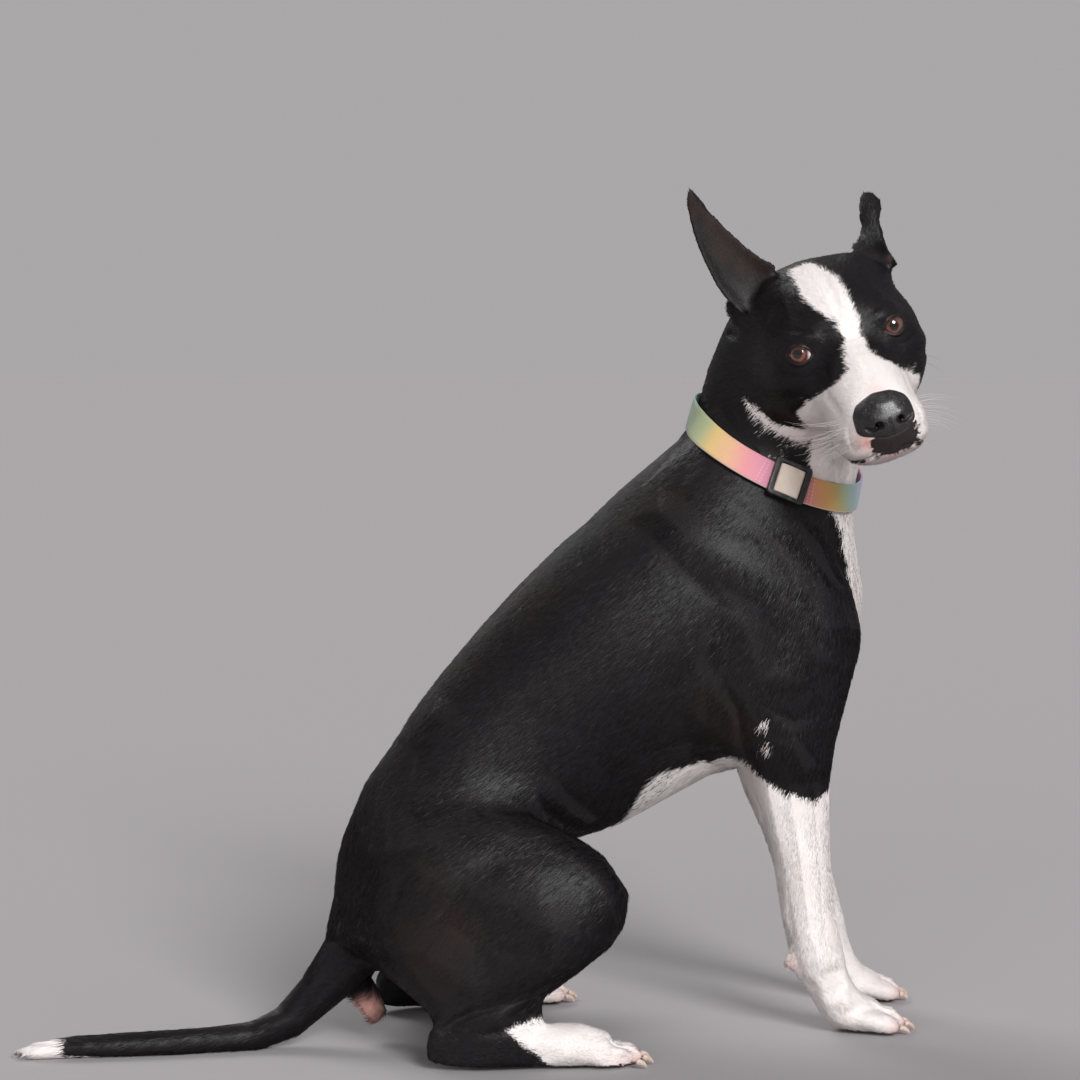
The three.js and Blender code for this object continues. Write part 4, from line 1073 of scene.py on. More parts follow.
def eyeball(side):
    # a ball round the line of sight, its cornea standing a little proud
    gaze = unit(fromHead(unit(eyeSizes[f"gaze{side}"])) - headOrigin)
    u = unit(np.cross(gaze, (0, 0, 1)))
    v = np.cross(gaze, u)
    ball = lidSizes["ball"]
    inwards = unit(fromHead((0, 1.0 if side == "R" else -1.0, -0.25)) - headOrigin)
    upwards = fromHead(openingAxes(side)[2]) - headOrigin
    points, turn, inner, raised, faces = [], [], [], [], []
    rings, around = eyeSizes["rings"], eyeSizes["around"]
    for i in range(rings + 1):
        a = math.pi * (i / rings) ** 1.25
        rise = eyeSizes["bulge"] * float(1 - ease(a * ball, *eyeSizes["bulgeEdge"]))
        for j in range(around if 0 < i < rings else 1):
            b = 2 * math.pi * j / around
            out = gaze * math.cos(a) + (u * math.cos(b) + v * math.sin(b)) * math.sin(a)
            points.append(eyeMiddle[side] + out * (ball + rise))
            turn.append(a * ball)
            inner.append(out @ inwards)
            raised.append(out @ upwards * ball)
    for j in range(around):
        k = (j + 1) % around
        faces.append((0, 1 + j, 1 + k))
        for i in range(1, rings - 1):
            a, b = 1 + (i - 1) * around, 1 + i * around
            faces.append((a + j, b + j, b + k, a + k))
        last = 1 + (rings - 2) * around
        faces.append((last + j, len(points) - 1, last + k))
    mesh = meshFrom(f"eyeball_{side}", points, faces)
    faceOutwards(mesh)
    setAttribute(mesh, "fromPupil", turn)
    setAttribute(mesh, "inner", inner)
    setAttribute(mesh, "raised", raised)
    shadeSmooth(mesh)
    eye = newObject(f"eyeball_{side}", mesh)
    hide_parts(f"eye_{side}")
    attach(eye, "root")
    return eye


def eyeMaterial():
    material, tree, shader = newMaterial("eyeGloss", rough=0.12, coat=1.0, coatRough=0.02, specular=0.6)
    out = attribute(tree, "fromPupil").outputs["Fac"]
    coords = objectPlace(tree)
    fibres = noiseNode(tree, coords, 1500, 3, 0.7)
    cloud = noiseNode(tree, coords, 330, 2)
    share = mathNode(tree, "DIVIDE", swayed(tree, fibres, 0.55, out), eyeSizes["reach"])
    pupil = eyeSizes["pupil"] / eyeSizes["reach"]
    # out from the pupil: the iris, its dark rim, and the white that the lids shade
    iris = colourRamp(tree, share, [
        (0.0, (0.002, 0.002, 0.002)), (pupil, (0.003, 0.002, 0.002)), (pupil + 0.02, (0.075, 0.024, 0.016)),
        (0.36, (0.14, 0.046, 0.029)), (0.50, (0.235, 0.088, 0.055)), (0.57, (0.15, 0.045, 0.030)),
        (0.62, (0.018, 0.009, 0.008)), (0.66, (0.12, 0.060, 0.048)), (1.0, (0.12, 0.055, 0.045))])
    colour = mixColour(tree, rangeNode(tree, cloud, 0.4, 0.7, 0.0, 0.5), iris, (0.45, 0.28, 0.22), "MULTIPLY")
    corner = mathNode(tree, "MULTIPLY", rangeNode(tree, attribute(tree, "inner").outputs["Fac"], 0.2, 0.5),
                      rangeNode(tree, out, 7.7, 8.3))
    colour = mixColour(tree, corner, colour, (0.78, 0.70, 0.71))
    # painted shadow of the upper lid: the eye darkens towards its top
    paintedLidShadow = rangeNode(tree, attribute(tree, "raised").outputs["Fac"], 0.2, 5.2, 0.0, 0.8)
    colour = mixColour(tree, paintedLidShadow, colour, (0.012, 0.006, 0.005))
    tree.links.new(colour, shader.inputs["Base Color"])
    return material


eyeGloss = eyeMaterial()
for side in sides:
    eyeball(side).data.materials.append(eyeGloss)
print("eyes set")


# the nose leather
noseSizes = {
    "voxel": 0.85, "grow": 0.9, "rounds": 56, "middle": 2.0, "nostrilOut": 9.0, "nostrilUp": -47.5,
    "nostrilHalf": (4.3, 3.7), "nostrilDepth": 6.0, "slitDepth": 4.5, "wingRise": 1.5, "philtrumDepth": 1.6,
    "narrowing": 0.30,
}


def shapeNose():
    nose = voxelSkin("noseLeather", ["nose"], noseSizes["grow"], noseSizes["voxel"])
    mesh = nose.data
    points = relax(coordsOf(mesh), edgesOf(mesh), 0.5, noseSizes["rounds"])
    setCoords(mesh, points)
    normals = normalsOf(mesh)
    h = inHead(points)
    facing = normals @ headForward
    outwards = normals @ headAxes.T
    tree = treeOf(mesh)
    for s in (-1, 1):
        y = noseSizes["middle"] + s * noseSizes["nostrilOut"]
        z = noseSizes["nostrilUp"]
        # the opening, then the slit that curls out and back from it
        across, updown = ((h[:, 1:] - (y, z)) / noseSizes["nostrilHalf"]).T
        hole = 1 - ease(np.hypot(across, updown), 0.35, 1.0)
        h[:, 0] -= noseSizes["nostrilDepth"] * hole * (facing > 0.1)
        slit = [(96, y + s * 2, z - 1), (92, y + s * 6, z - 2.5), (84, y + s * 9.5, z + 0.5)]
        slit = inHead(ontoSurface(tree, fromHead(curveThrough(slit, 10))))
        d, share = toLine(inHead(points), slit)
        h -= outwards * (noseSizes["slitDepth"] * (1 - ease(d, 0.4, 1.9)) * (1 - 0.6 * share))[:, None]
        # the wing swells round the nostril
        wing = np.exp(-(((h[:, 1] - y - s * 4) / 5) ** 2 + ((h[:, 2] - z - 6) / 4) ** 2))
        h += outwards * (noseSizes["wingRise"] * wing * (facing > 0))[:, None]
    # the pad narrows below the nostrils
    narrow = noseSizes["narrowing"] * ease(-h[:, 2], 50, 64)
    h[:, 1] -= (h[:, 1] - noseSizes["middle"]) * narrow
    cleft = (1 - ease(np.abs(h[:, 1] - noseSizes["middle"]), 0.3, 2.0)) * (1 - ease(h[:, 2], -50, -42))
    h[:, 0] -= noseSizes["philtrumDepth"] * cleft
    setCoords(mesh, fromHead(h))
    setCoords(mesh, relax(coordsOf(mesh), edgesOf(mesh), 0.3, 2))
    shadeSmooth(mesh)
    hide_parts("nose")
    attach(nose, "root")
    return nose


def noseMaterial():
    material, tree, shader = newMaterial("noseLeather", specular=0.6, coat=0.35, coatRough=0.22)
    coords = objectPlace(tree)
    cells = tree.nodes.new("ShaderNodeTexVoronoi")
    cells.feature = "DISTANCE_TO_EDGE"
    cells.inputs["Scale"].default_value = 620
    tree.links.new(coords, cells.inputs["Vector"])
    pebble = rangeNode(tree, cells.outputs["Distance"], 0.0, 0.22)
    patch = noiseNode(tree, coords, 160, 3)
    colour = mixColour(tree, rangeNode(tree, patch, 0.35, 0.7), (0.007, 0.0055, 0.006), (0.024, 0.017, 0.018))
    # painted shade: the grooves between the pebbles are darker
    colour = mixColour(tree, pebble, (0.003, 0.002, 0.002), colour)
    tree.links.new(colour, shader.inputs["Base Color"])
    tree.links.new(rangeNode(tree, patch, 0.3, 0.75, 0.30, 0.48), shader.inputs["Roughness"])
    bumpInto(tree, shader, pebble, 0.7, 0.22)
    return material


noseLeather = shapeNose()
noseLeather.data.materials.append(noseMaterial())
print("nose shaped", len(noseLeather.data.polygons))


# the claws

def clawMaterial():
    material, tree, shader = newMaterial("clawHorn", specular=0.55, coat=0.3, coatRough=0.2)
    coords = objectPlace(tree)
    streak = noiseNode(tree, coords, 420, 3)
    colour = mixColour(tree, rangeNode(tree, streak, 0.3, 0.7), (0.50, 0.36, 0.29), (0.66, 0.54, 0.47))
    tree.links.new(colour, shader.inputs["Base Color"])
    tree.links.new(rangeNode(tree, streak, 0.3, 0.7, 0.32, 0.46), shader.inputs["Roughness"])
    bumpInto(tree, shader, streak, 0.4, 0.12)
    return material


def smoothClaw(node, material):
    claw = objectFrom("smooth_" + node, solidsCopied([node], 0))
    finer = claw.modifiers.new("finer", "SUBSURF")
    finer.levels = finer.render_levels = 2
    mesh = evaluated(claw)
    points = coordsOf(mesh)
    points[:, 2] = np.maximum(points[:, 2], skinSizes["floorGap"])
    setCoords(mesh, points)
    shadeSmooth(mesh)
    mesh.materials.append(material)
    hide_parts(node)
    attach(claw, "root")


clawHorn = clawMaterial()
for node in sorted(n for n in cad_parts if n.startswith("claw_")):
    smoothClaw(node, clawHorn)
print("claws set")


# the collar's printed webbing: millimetres from the slide towards the breast, and the tone there
webbingTones = [
    (-182, (0.30, 0.47, 0.51)), (-150, (0.22, 0.39, 0.37)), (-112, (0.21, 0.26, 0.14)),
    (-92, (0.34, 0.39, 0.21)), (-74, (0.67, 0.47, 0.18)), (-56, (0.74, 0.43, 0.26)),
    (-38, (0.74, 0.30, 0.32)), (-22, (0.74, 0.30, 0.41)), (-8, (0.62, 0.25, 0.35)),
    (10, (0.63, 0.21, 0.22)), (24, (0.62, 0.22, 0.19)), (34, (0.62, 0.29, 0.12)),
    (46, (0.59, 0.34, 0.11)), (58, (0.43, 0.36, 0.15)), (70, (0.28, 0.37, 0.28)),
    (86, (0.25, 0.37, 0.39)), (110, (0.37, 0.35, 0.54)), (136, (0.63, 0.30, 0.43)),
    (160, (0.74, 0.41, 0.29)), (182, (0.56, 0.49, 0.25)),
]
creamTones = [(0.80, 0.69, 0.60), (0.72, 0.58, 0.48)]


def lengthRound(loop):
    # how far along the closed loop each point is, ending with the whole length
    steps = np.linalg.norm(np.roll(loop, -1, 0) - loop, axis=1)
    return np.concatenate([[0], np.cumsum(steps)])


def webbing(low, high, centre):
    # flat webbing round the neck with soft edges; its map runs along and across it
    half, t = collarSizes["width"] / 2, collarSizes["thickness"] / 2
    flat = half - collarSizes["softEdge"]
    outer = [(s, t + collarSizes["crown"] * (1 - (s / half) ** 2)) for s in np.linspace(-flat, flat, 13)]
    inner = [(s, -t) for s in np.linspace(flat, -flat, 7)]
    profile = outer + [(half, 0.35 * t), (half, -0.5 * t)] + inner + [(-half, -0.5 * t), (-half, 0.35 * t)]
    middle = (low + high) / 2
    across = unit(high - low)
    along = unit(np.roll(middle, -1, 0) - np.roll(middle, 1, 0))
    out = np.cross(along, across)
    out = out * np.sign(((middle - centre) * out).sum(1, keepdims=True))
    base = middle - out * t
    at = lengthRound(middle)
    count, around = len(middle), len(profile)
    points = np.concatenate([base[:, None] + across[:, None] * s + out[:, None] * n for s, n in profile], 1)
    points = points.reshape(-1, 3)
    faces, uvs = [], []
    for i in range(count):
        j = (i + 1) % count
        for k in range(around):
            m = (k + 1) % around
            faces.append((i * around + k, j * around + k, j * around + m, i * around + m))
            vK, vM = 0.5 + profile[k][0] / (2 * half), 0.5 + profile[m][0] / (2 * half)
            uvs += [(at[i], vK), (at[i + 1], vK), (at[i + 1], vM), (at[i], vM)]
    mesh = meshFrom("webbing", points, faces)
    uvs = np.array(uvs)
    whole = at[-1]
    uvs[:, 0] = np.where(uvs[:, 0] > whole / 2, uvs[:, 0] - whole, uvs[:, 0])
    # a face over the join keeps its corners together
    quads = uvs[:, 0].reshape(-1, 4)
    wide = (quads.max(1) - quads.min(1)) > whole / 2
    quads[wide] = np.where(quads[wide] > 0, quads[wide], quads[wide] + whole)
    addMap(mesh, "web", np.stack([quads.ravel() * mm, uvs[:, 1] * collarSizes["width"] * mm], 1))
    faceOutwards(mesh)
    shadeSmooth(mesh)
    return newObject("webbing", mesh), middle, across, out


def weaveGroup():
    # flat woven threads from a map in metres: a height, and a painted shade that darkens the low places
    # between the threads
    tree, given, made = groupOf("weave", [
        ("Map", "NodeSocketVector", None), ("Along", "NodeSocketFloat", 1.15),
        ("Across", "NodeSocketFloat", 1.5)], [
        ("Height", "NodeSocketFloat"), ("Shade", "NodeSocketFloat")])
    split = tree.nodes.new("ShaderNodeSeparateXYZ")
    tree.links.new(given.outputs["Map"], split.inputs[0])
    waves = []
    for axis, pitch in (("X", "Along"), ("Y", "Across")):
        turns = mathNode(tree, "DIVIDE", mathNode(tree, "MULTIPLY", split.outputs[axis], 1000 * 2 * math.pi),
                         given.outputs[pitch])
        waves.append(mathNode(tree, "SINE", turns))
    woven = mathNode(tree, "MULTIPLY", waves[0], waves[1])
    ribs = mathNode(tree, "MULTIPLY_ADD", mathNode(tree, "ABSOLUTE", waves[1]), 0.6, woven)
    fuzz = noiseNode(tree, given.outputs["Map"], 1400, 2)
    tree.links.new(mathNode(tree, "MULTIPLY_ADD", fuzz, 0.5, ribs), made.inputs["Height"])
    # painted shade: darker where the threads lie low
    shade = rangeNode(tree, mathNode(tree, "ADD", ribs, fuzz), -0.6, 1.8, 0.80, 1.0)
    tree.links.new(shade, made.inputs["Shade"])
    return tree


weaveTree = weaveGroup()


def webbingMaterial(name, whole=None):
    # printed along the whole length where that is given, and plain cream where it isn't
    material, tree, shader = newMaterial(name, rough=0.66, specular=0.35, sheen=0.25, sheenRough=0.5)
    uv = tree.nodes.new("ShaderNodeUVMap")
    uv.uv_map = "web"
    weave = tree.nodes.new("ShaderNodeGroup")
    weave.node_tree = weaveTree
    weave.inputs["Along"].default_value = collarSizes["weaveAlong"]
    weave.inputs["Across"].default_value = collarSizes["weaveAcross"]
    tree.links.new(uv.outputs["UV"], weave.inputs["Map"])
    cloud = noiseNode(tree, uv.outputs["UV"], 60, 3)
    if whole:
        split = tree.nodes.new("ShaderNodeSeparateXYZ")
        tree.links.new(uv.outputs["UV"], split.inputs[0])
        along = mathNode(tree, "MULTIPLY_ADD", split.outputs["Y"], 0.35, split.outputs["X"])
        along = mathNode(tree, "ADD", along, mathNode(tree, "MULTIPLY_ADD", cloud, 0.008, -0.006))
        share = mathNode(tree, "MULTIPLY_ADD", along, 1 / (whole * mm), 0.5)
        tone = colourRamp(tree, share, [(0.5 + place / whole, tone) for place, tone in webbingTones])
        # painted highlight: a paler band along the webbing's lower edge
        edge = rangeNode(tree, split.outputs["Y"], 0.0004, 0.0012, 0.75, 0.0)
        tone = mixColour(tree, edge, tone, (0.70, 0.58, 0.50))
    else:
        tone = mixColour(tree, rangeNode(tree, cloud, 0.3, 0.7), *creamTones)
    # the weave's painted shade darkens the tone between the threads
    tone = mixColour(tree, 1.0, tone, weave.outputs["Shade"], "MULTIPLY")
    tree.links.new(tone, shader.inputs["Base Color"])
    bumpInto(tree, shader, weave.outputs["Height"], 0.45, 0.16)
    return material


def softened(node, bevel=0, subdivide=0):
    # a copy of a CAD piece with its edges rounded
    bm = solidsCopied([node], 0)
    bmesh.ops.dissolve_limit(bm, angle_limit=math.radians(2), verts=bm.verts, edges=bm.edges)
    piece = objectFrom("soft_" + node, bm)
    if bevel:
        edge = piece.modifiers.new("edge", "BEVEL")
        edge.width = bevel * mm
        edge.segments = 3
        edge.limit_method = "ANGLE"
        edge.angle_limit = math.radians(28)
    if subdivide:
        finer = piece.modifiers.new("finer", "SUBSURF")
        finer.levels = finer.render_levels = subdivide
    mesh = evaluated(piece)
    shadeSmooth(mesh)
    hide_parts(node)
    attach(piece, "root")
    return piece


def tongue():
    # the webbing that shows in the slide's window, bent over its middle bar
    points = mergedPoints("collar_tongue")
    centre = points.mean(0)
    axes = np.linalg.svd(points - centre)[2]
    out = axes[2] if axes[2] @ (centre - strapCentre) > 0 else -axes[2]
    up = unit(strapAxis - out * (strapAxis @ out))
    along = np.cross(up, out)
    q = points - centre
    halfAlong, halfUp = np.abs(q @ along).max(), np.abs(q @ up).max()
    count = 18
    grid, faces, uvs = [], [], []
    for layer in (0, 1):
        for i in range(count + 1):
            s = -1 + 2 * i / count
            for j in range(count + 1):
                t = -1 + 2 * j / count
                lift = collarSizes["tongueCrown"] * (1 - s * s) ** 0.8 - 0.3 * t ** 6
                height = (1.0 + lift) if layer else -0.9
                grid.append(centre + along * (s * halfAlong) + up * (t * halfUp) + out * height)
                uvs.append((s * halfAlong * mm, (t * halfUp + halfUp) * mm))
    n = count + 1
    for i in range(count):
        for j in range(count):
            a, b, c, d = i * n + j, (i + 1) * n + j, (i + 1) * n + j + 1, i * n + j + 1
            faces.append((a, d, c, b))
            faces.append((a + n * n, b + n * n, c + n * n, d + n * n))
    rim = [i * n for i in range(n)] + [count * n + j for j in range(1, n)] \
        + [i * n + count for i in range(count - 1, -1, -1)] + [j for j in range(count - 1, 0, -1)]
    for a, b in zip(rim, rim[1:] + rim[:1]):
        faces.append((a, b, b + n * n, a + n * n))
    mesh = meshFrom("tongueWebbing", grid, faces)
    addPointMap(mesh, "web", np.array(uvs))
    faceOutwards(mesh)
    shadeSmooth(mesh)
    piece = newObject("tongueWebbing", mesh)
    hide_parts("collar_tongue")
    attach(piece, "root")
    return piece


def plasticMaterial():
    material, tree, shader = newMaterial("mouldedPlastic", specular=0.45)
    coords = objectPlace(tree)
    grain = noiseNode(tree, coords, 1500, 2)
    wear = noiseNode(tree, coords, 180, 4)
    colour = mixColour(tree, rangeNode(tree, wear, 0.45, 0.75), (0.022, 0.021, 0.022), (0.060, 0.057, 0.055))
    tree.links.new(colour, shader.inputs["Base Color"])
    tree.links.new(rangeNode(tree, wear, 0.3, 0.7, 0.36, 0.52), shader.inputs["Roughness"])
    bumpInto(tree, shader, grain, 0.35, 0.06)
    return material


def steelMaterial():
    material, tree, shader = newMaterial("ringSteel", metal=1.0)
    coords = objectPlace(tree)
    scuff = noiseNode(tree, coords, 700, 4)
    colour = mixColour(tree, rangeNode(tree, scuff, 0.3, 0.7), (0.52, 0.51, 0.50), (0.70, 0.69, 0.67))
    tree.links.new(colour, shader.inputs["Base Color"])
    tree.links.new(rangeNode(tree, scuff, 0.3, 0.7, 0.22, 0.36), shader.inputs["Roughness"])
    bumpInto(tree, shader, scuff, 0.2, 0.03)
    return material


strap, strapMiddle, strapAcross, strapOut = webbing(lowEdge, highEdge, strapCentre)
strapLength = lengthRound(strapMiddle)[-1]
strap.data.materials.append(webbingMaterial("printedWebbing", whole=strapLength))
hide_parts("collar_strap")
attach(strap, "root")
tonguePiece = tongue()
tonguePiece.data.materials.append(webbingMaterial("creamWebbing"))
plastic = plasticMaterial()
for node, bevel in (("collar_slide", "slideBevel"), ("collar_buckle", "buckleBevel")):
    piece = softened(node, bevel=collarSizes[bevel])
    piece.data.materials.append(plastic)
ringPiece = softened("collar_ring", subdivide=2)
ringPiece.data.materials.append(steelMaterial())
print("collar made, round", round(strapLength), "mm")


# the coat: tufts that lie along the skin
# for each part: which way the hair lies, a tuft's length, width and lift, and how thickly they stand
lieOfCoat = {
    "neck": [(-0.72, 0.0, -0.62), 5.5, 0.75, 0.09, 1.6],
    "chest": [(-0.86, 0.0, -0.46), 10.0, 1.0, 0.09, 1.0],
    "loin": [(-0.90, 0.0, -0.40), 10.0, 1.0, 0.09, 1.0],
    "rump": [(-0.82, 0.0, -0.58), 10.0, 1.0, 0.10, 1.0],
    "tail_root": [(-0.85, 0.0, -0.5), 9.0, 0.9, 0.10, 1.2],
    "tail_middle": [(-0.97, 0.0, -0.1), 9.0, 0.9, 0.10, 1.3],
    "tail_end": [(-1.0, 0.0, 0.0), 9.0, 0.9, 0.11, 1.4],
    "shoulder": [(-0.45, 0.0, -0.88), 9.0, 1.0, 0.09, 1.0],
    "forearm": [(-0.15, 0.0, -1.0), 6.0, 0.75, 0.08, 1.8],
    "forepaw": [(0.75, 0.0, -0.6), 4.0, 0.6, 0.12, 2.2],
    "thigh": [(-0.62, 0.0, -0.76), 9.0, 1.0, 0.09, 1.0],
    "shank": [(-0.85, 0.0, -0.5), 7.0, 0.8, 0.09, 1.3],
    "hindfoot": [(0.95, 0.0, -0.15), 4.0, 0.6, 0.12, 2.0],
}
# the same for the head, in its own directions; the middle number turns outwards on each side
lieOfHead = {
    "skull": [(-0.9, 0.25, -0.15), 6.0, 0.7, 0.10, 2.0],
    "face": [(-0.85, 0.45, -0.1), 4.6, 0.55, 0.12, 3.4],
    "muzzle": [(-0.85, 0.4, -0.25), 3.8, 0.5, 0.13, 4.2],
    "jaw": [(-0.95, 0.2, -0.2), 5.0, 0.55, 0.12, 3.0],
    "nose": [(-0.9, 0.4, -0.1), 3.0, 0.45, 0.12, 3.0],
    "ear": [(-0.45, 0.25, 0.85), 3.4, 0.5, 0.07, 3.0],
}
coatSizes = {
    "tufts": 345000, "mostInPiece": 49000, "patch": 0.003, "seed": 11, "jitter": 1.3, "turn": 0.16,
    "rootDepth": 0.25, "lowest": 0.04, "lowestTip": 0.1,
}


def nearestNode(points):
    # the CAD solid whose surface lies nearest to each point
    names = flesh + ["nose"]
    corners, faces, owner = [], [], []
    for number, name in enumerate(names):
        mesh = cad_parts[name].data
        base = len(corners)
        corners += [v.co.copy() for v in mesh.vertices]
        for p in mesh.polygons:
            faces.append([base + i for i in p.vertices])
            owner.append(number)
    tree = BVHTree.FromPolygons(corners, faces)
    found = [owner[tree.find_nearest(Vector(p))[2]] for p in points * mm]
    return names, np.array(found)


def layCoat(mesh):
    # the lie, length, width, lift and thickness of the coat at every point of the skin
    points, normals, edges = coordsOf(mesh), normalsOf(mesh), edgesOf(mesh)
    h = inHead(points)
    names, owner = nearestNode(points)
    lie = np.zeros((len(points), 3))
    sizes = np.zeros((len(points), 4))
    for number, name in enumerate(names):
        mine = owner == number
        kind = name[:-2] if name[-2:] in ("_R", "_L") else name
        if kind in lieOfHead:
            way, *rest = lieOfHead[kind]
            side = np.sign(h[mine, 1])[:, None]
            if kind == "ear":
                side = -1.0 if name.endswith("_R") else 1.0
            lie[mine] = way[0] * headForward + way[1] * side * headLeft + way[2] * headUp
        else:
            way, *rest = lieOfCoat[kind]
            lie[mine] = way
        sizes[mine] = rest
    front = ease(points[:, 0], 262, 300) * ease(points[:, 2], 230, 300) * (1 - ease(points[:, 2], 470, 520))
    lie = lie * (1 - front)[:, None] + np.array([0.05, 0, -1.0]) * front[:, None]
    lie = relax(lie, edges, 0.6, 26)
    sizes = relax(sizes, edges, 0.6, 14)
    lie = unit(lie - normals * (lie * normals).sum(1, keepdims=True))
    # none on the nose, the lids, the lips and the soles, and few where the skin is bare
    dark, lids = darkness(points)
    bare = np.maximum(lids, ease(dark, 0.3, 0.8) * 0.85)
    for side in sides:
        f = outsideLids(h, side)
        bare = np.maximum(bare, 1 - ease(f, 1.6, 2.6))
        sizes[:, 0] *= 0.45 + 0.55 * ease(f, 2, 14)
    d = fromNose(h)
    bare = np.maximum(bare, 1 - ease(d, 0.86, 0.98))
    sizes[:, 0] *= 0.5 + 0.5 * ease(d, 0.9, 1.6)
    bare = np.maximum(bare, 0.75 * ease(pinkness(points), 0.35, 0.8))
    bare = np.maximum(bare, 1 - ease(points[:, 2], 1.2, 3.0))
    # and none under the strap, with short hair beside it
    height, _, reach, strap = roundCollar(points)
    near = reach < strap + 12
    bare = np.maximum(bare, near * (1 - ease(np.abs(height), 12, 13.5)))
    sizes[:, 0] *= np.where(near, 0.3 + 0.7 * ease(np.where(height > 0, height, 60), 13, 22), 1)
    return points, normals, lie, sizes, np.clip(bare, 0, 1)


def coatPiece(name, root, normal, lie, size, mapAt, rng):
    # closed four-faced tufts: a small root in the skin and one tip
    count = len(root)
    length, width, lift = size[:, :1], size[:, 1:2], size[:, 2:3]
    side = np.cross(normal, lie)
    turn = rng.normal(0, coatSizes["turn"], (count, 1))
    lie = unit(lie + side * turn)
    side = np.cross(normal, lie)
    length = length * rng.uniform(0.65, 1.2, (count, 1))
    lift = lift * rng.uniform(0.4, 1.5, (count, 1))
    half = width * rng.uniform(0.4, 0.6, (count, 1))
    left = root + side * half - normal * coatSizes["rootDepth"]
    right = root - side * half - normal * coatSizes["rootDepth"]
    ridge = root + normal * (0.16 + 0.12 * width) - lie * half * 0.5
    tip = root + lie * length * (1 - 0.5 * lift) + normal * (length * lift + 0.05)
    tip[:, 2] = np.maximum(tip[:, 2], coatSizes["lowestTip"])
    points = np.stack([left, right, ridge, tip], 1).reshape(-1, 3)
    points[:, 2] = np.maximum(points[:, 2], coatSizes["lowest"])
    base = np.arange(count)[:, None] * 4
    faces = np.array([[0, 1, 2], [0, 3, 1], [1, 3, 2], [2, 3, 0]])
    corners = (base[:, :, None] + faces[None]).reshape(-1)
    mesh = bpy.data.meshes.new(name)
    mesh.vertices.add(count * 4)
    mesh.vertices.foreach_set("co", (points * mm).astype(np.float32).ravel())
    mesh.loops.add(len(corners))
    mesh.loops.foreach_set("vertex_index", corners.astype(np.int32))
    mesh.polygons.add(count * 4)
    mesh.polygons.foreach_set("loop_start", np.arange(0, len(corners), 3, dtype=np.int32))
    mesh.update(calc_edges=True)
    shadeSmooth(mesh)
    patch = coatSizes["patch"] / 2
    offsets = np.array([(-patch, -patch), (patch, -patch), (-patch, patch), (patch, patch)])
    addMap(mesh, "OFBake", (mapAt[:, None] + offsets[None]).reshape(-1, 2)[corners])
    addTones(mesh, root, normal, jitter=rng.normal(0, coatSizes["jitter"], count), repeat=4)
    shade = unit(normal + side * rng.normal(0, 0.13, (count, 1)) + lie * rng.normal(0.04, 0.07, (count, 1)))
    mesh.normals_split_custom_set_from_vertices(np.repeat(shade, 4, axis=0).tolist())
    piece = newObject(name, mesh)
    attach(piece, "root")
    return piece


def growCoat(skin, material):
    mesh = skin.data
    points, normals, lie, sizes, bare = layCoat(mesh)
    triangles = trianglesOf(mesh)
    loops = readAll(mesh.loop_triangles, "loops", 3)
    a, b, c = (points[triangles[:, k]] for k in range(3))
    area = np.linalg.norm(np.cross(b - a, c - a), axis=1) / 2
    thick = (sizes[:, 3] * (1 - bare))[triangles].mean(1)
    rng = np.random.default_rng(coatSizes["seed"])
    weight = area * thick
    chosen = rng.choice(len(triangles), coatSizes["tufts"], p=weight / weight.sum())
    share = rng.dirichlet((1, 1, 1), len(chosen))
    corner = triangles[chosen]

    def blend(values, index):
        return (values[index] * share[:, :, None]).sum(1)

    root, normal = blend(points, corner), unit(blend(normals, corner))
    way = blend(lie, corner)
    way = unit(way - normal * (way * normal).sum(1, keepdims=True))
    size, mapAt = blend(sizes, corner), blend(mapOf(mesh, "OFBake"), loops[chosen])
    order = np.argsort(root[:, 0] + root[:, 2], kind="stable")
    pieces = math.ceil(len(order) / coatSizes["mostInPiece"])
    for number, part in enumerate(np.array_split(order, pieces)):
        laid = [values[part] for values in (root, normal, way, size, mapAt)]
        piece = coatPiece(f"coat_{number + 1}", *laid, rng)
        piece.data.materials.append(material)
        print("coat", piece.name, len(piece.data.polygons))


def unwrapSkin():
    # an unwrap of the skin by its own shape
    bpy.ops.object.select_all(action="DESELECT")
    skin.select_set(True)
    bpy.context.view_layer.objects.active = skin
    skin.data.uv_layers.new(name="OFBake")
    bpy.ops.object.mode_set(mode="EDIT")
    bpy.ops.mesh.select_all(action="SELECT")
    bpy.ops.uv.smart_project(angle_limit=math.radians(66), island_margin=0.002)
    bpy.ops.object.mode_set(mode="OBJECT")


unwrapSkin()
print("skin unwrapped")
growCoat(skin, coatMaterial("coatOnTufts", edge=1.2, speckle=0.6))


# whiskers, brow hairs and stitches, laid by geometry nodes
hairSizes = {
    "whisker": {"length": 34.0, "thick": 0.34, "bend": 9.0, "seed": 3},
    "brow": {"length": 17.0, "thick": 0.26, "bend": 4.0, "seed": 8},
}
hairRows = {"heights": (-50, -56, -62, -68), "inRow": 5, "onChin": 4, "overEye": 4, "seed": 21}
stitchSizes = {
    "length": 2.3, "thick": 0.55, "gap": 2.9, "rows": (-17.0, -20.5, 17.0, 20.5), "rowHalf": 9.6,
    "lift": 0.28, "besideBuckle": 9.0, "besideSlide": 4.0,
}


def geometryTree(name, inputs):
    inputs = [("Geometry", "NodeSocketGeometry", None)] + inputs
    return groupOf(name, inputs, [("Geometry", "NodeSocketGeometry")], "GeometryNodeTree")


def combined(tree, **parts):
    # a vector from the parts that are given, the others 0
    node = tree.nodes.new("ShaderNodeCombineXYZ")
    for axis, value in parts.items():
        tree.links.new(value, node.inputs[axis])
    return node.outputs[0]


def rootValue(tree, name, kind):
    node = tree.nodes.new("GeometryNodeInputNamedAttribute")
    node.data_type = kind
    node.inputs["Name"].default_value = name
    return node.outputs[0]


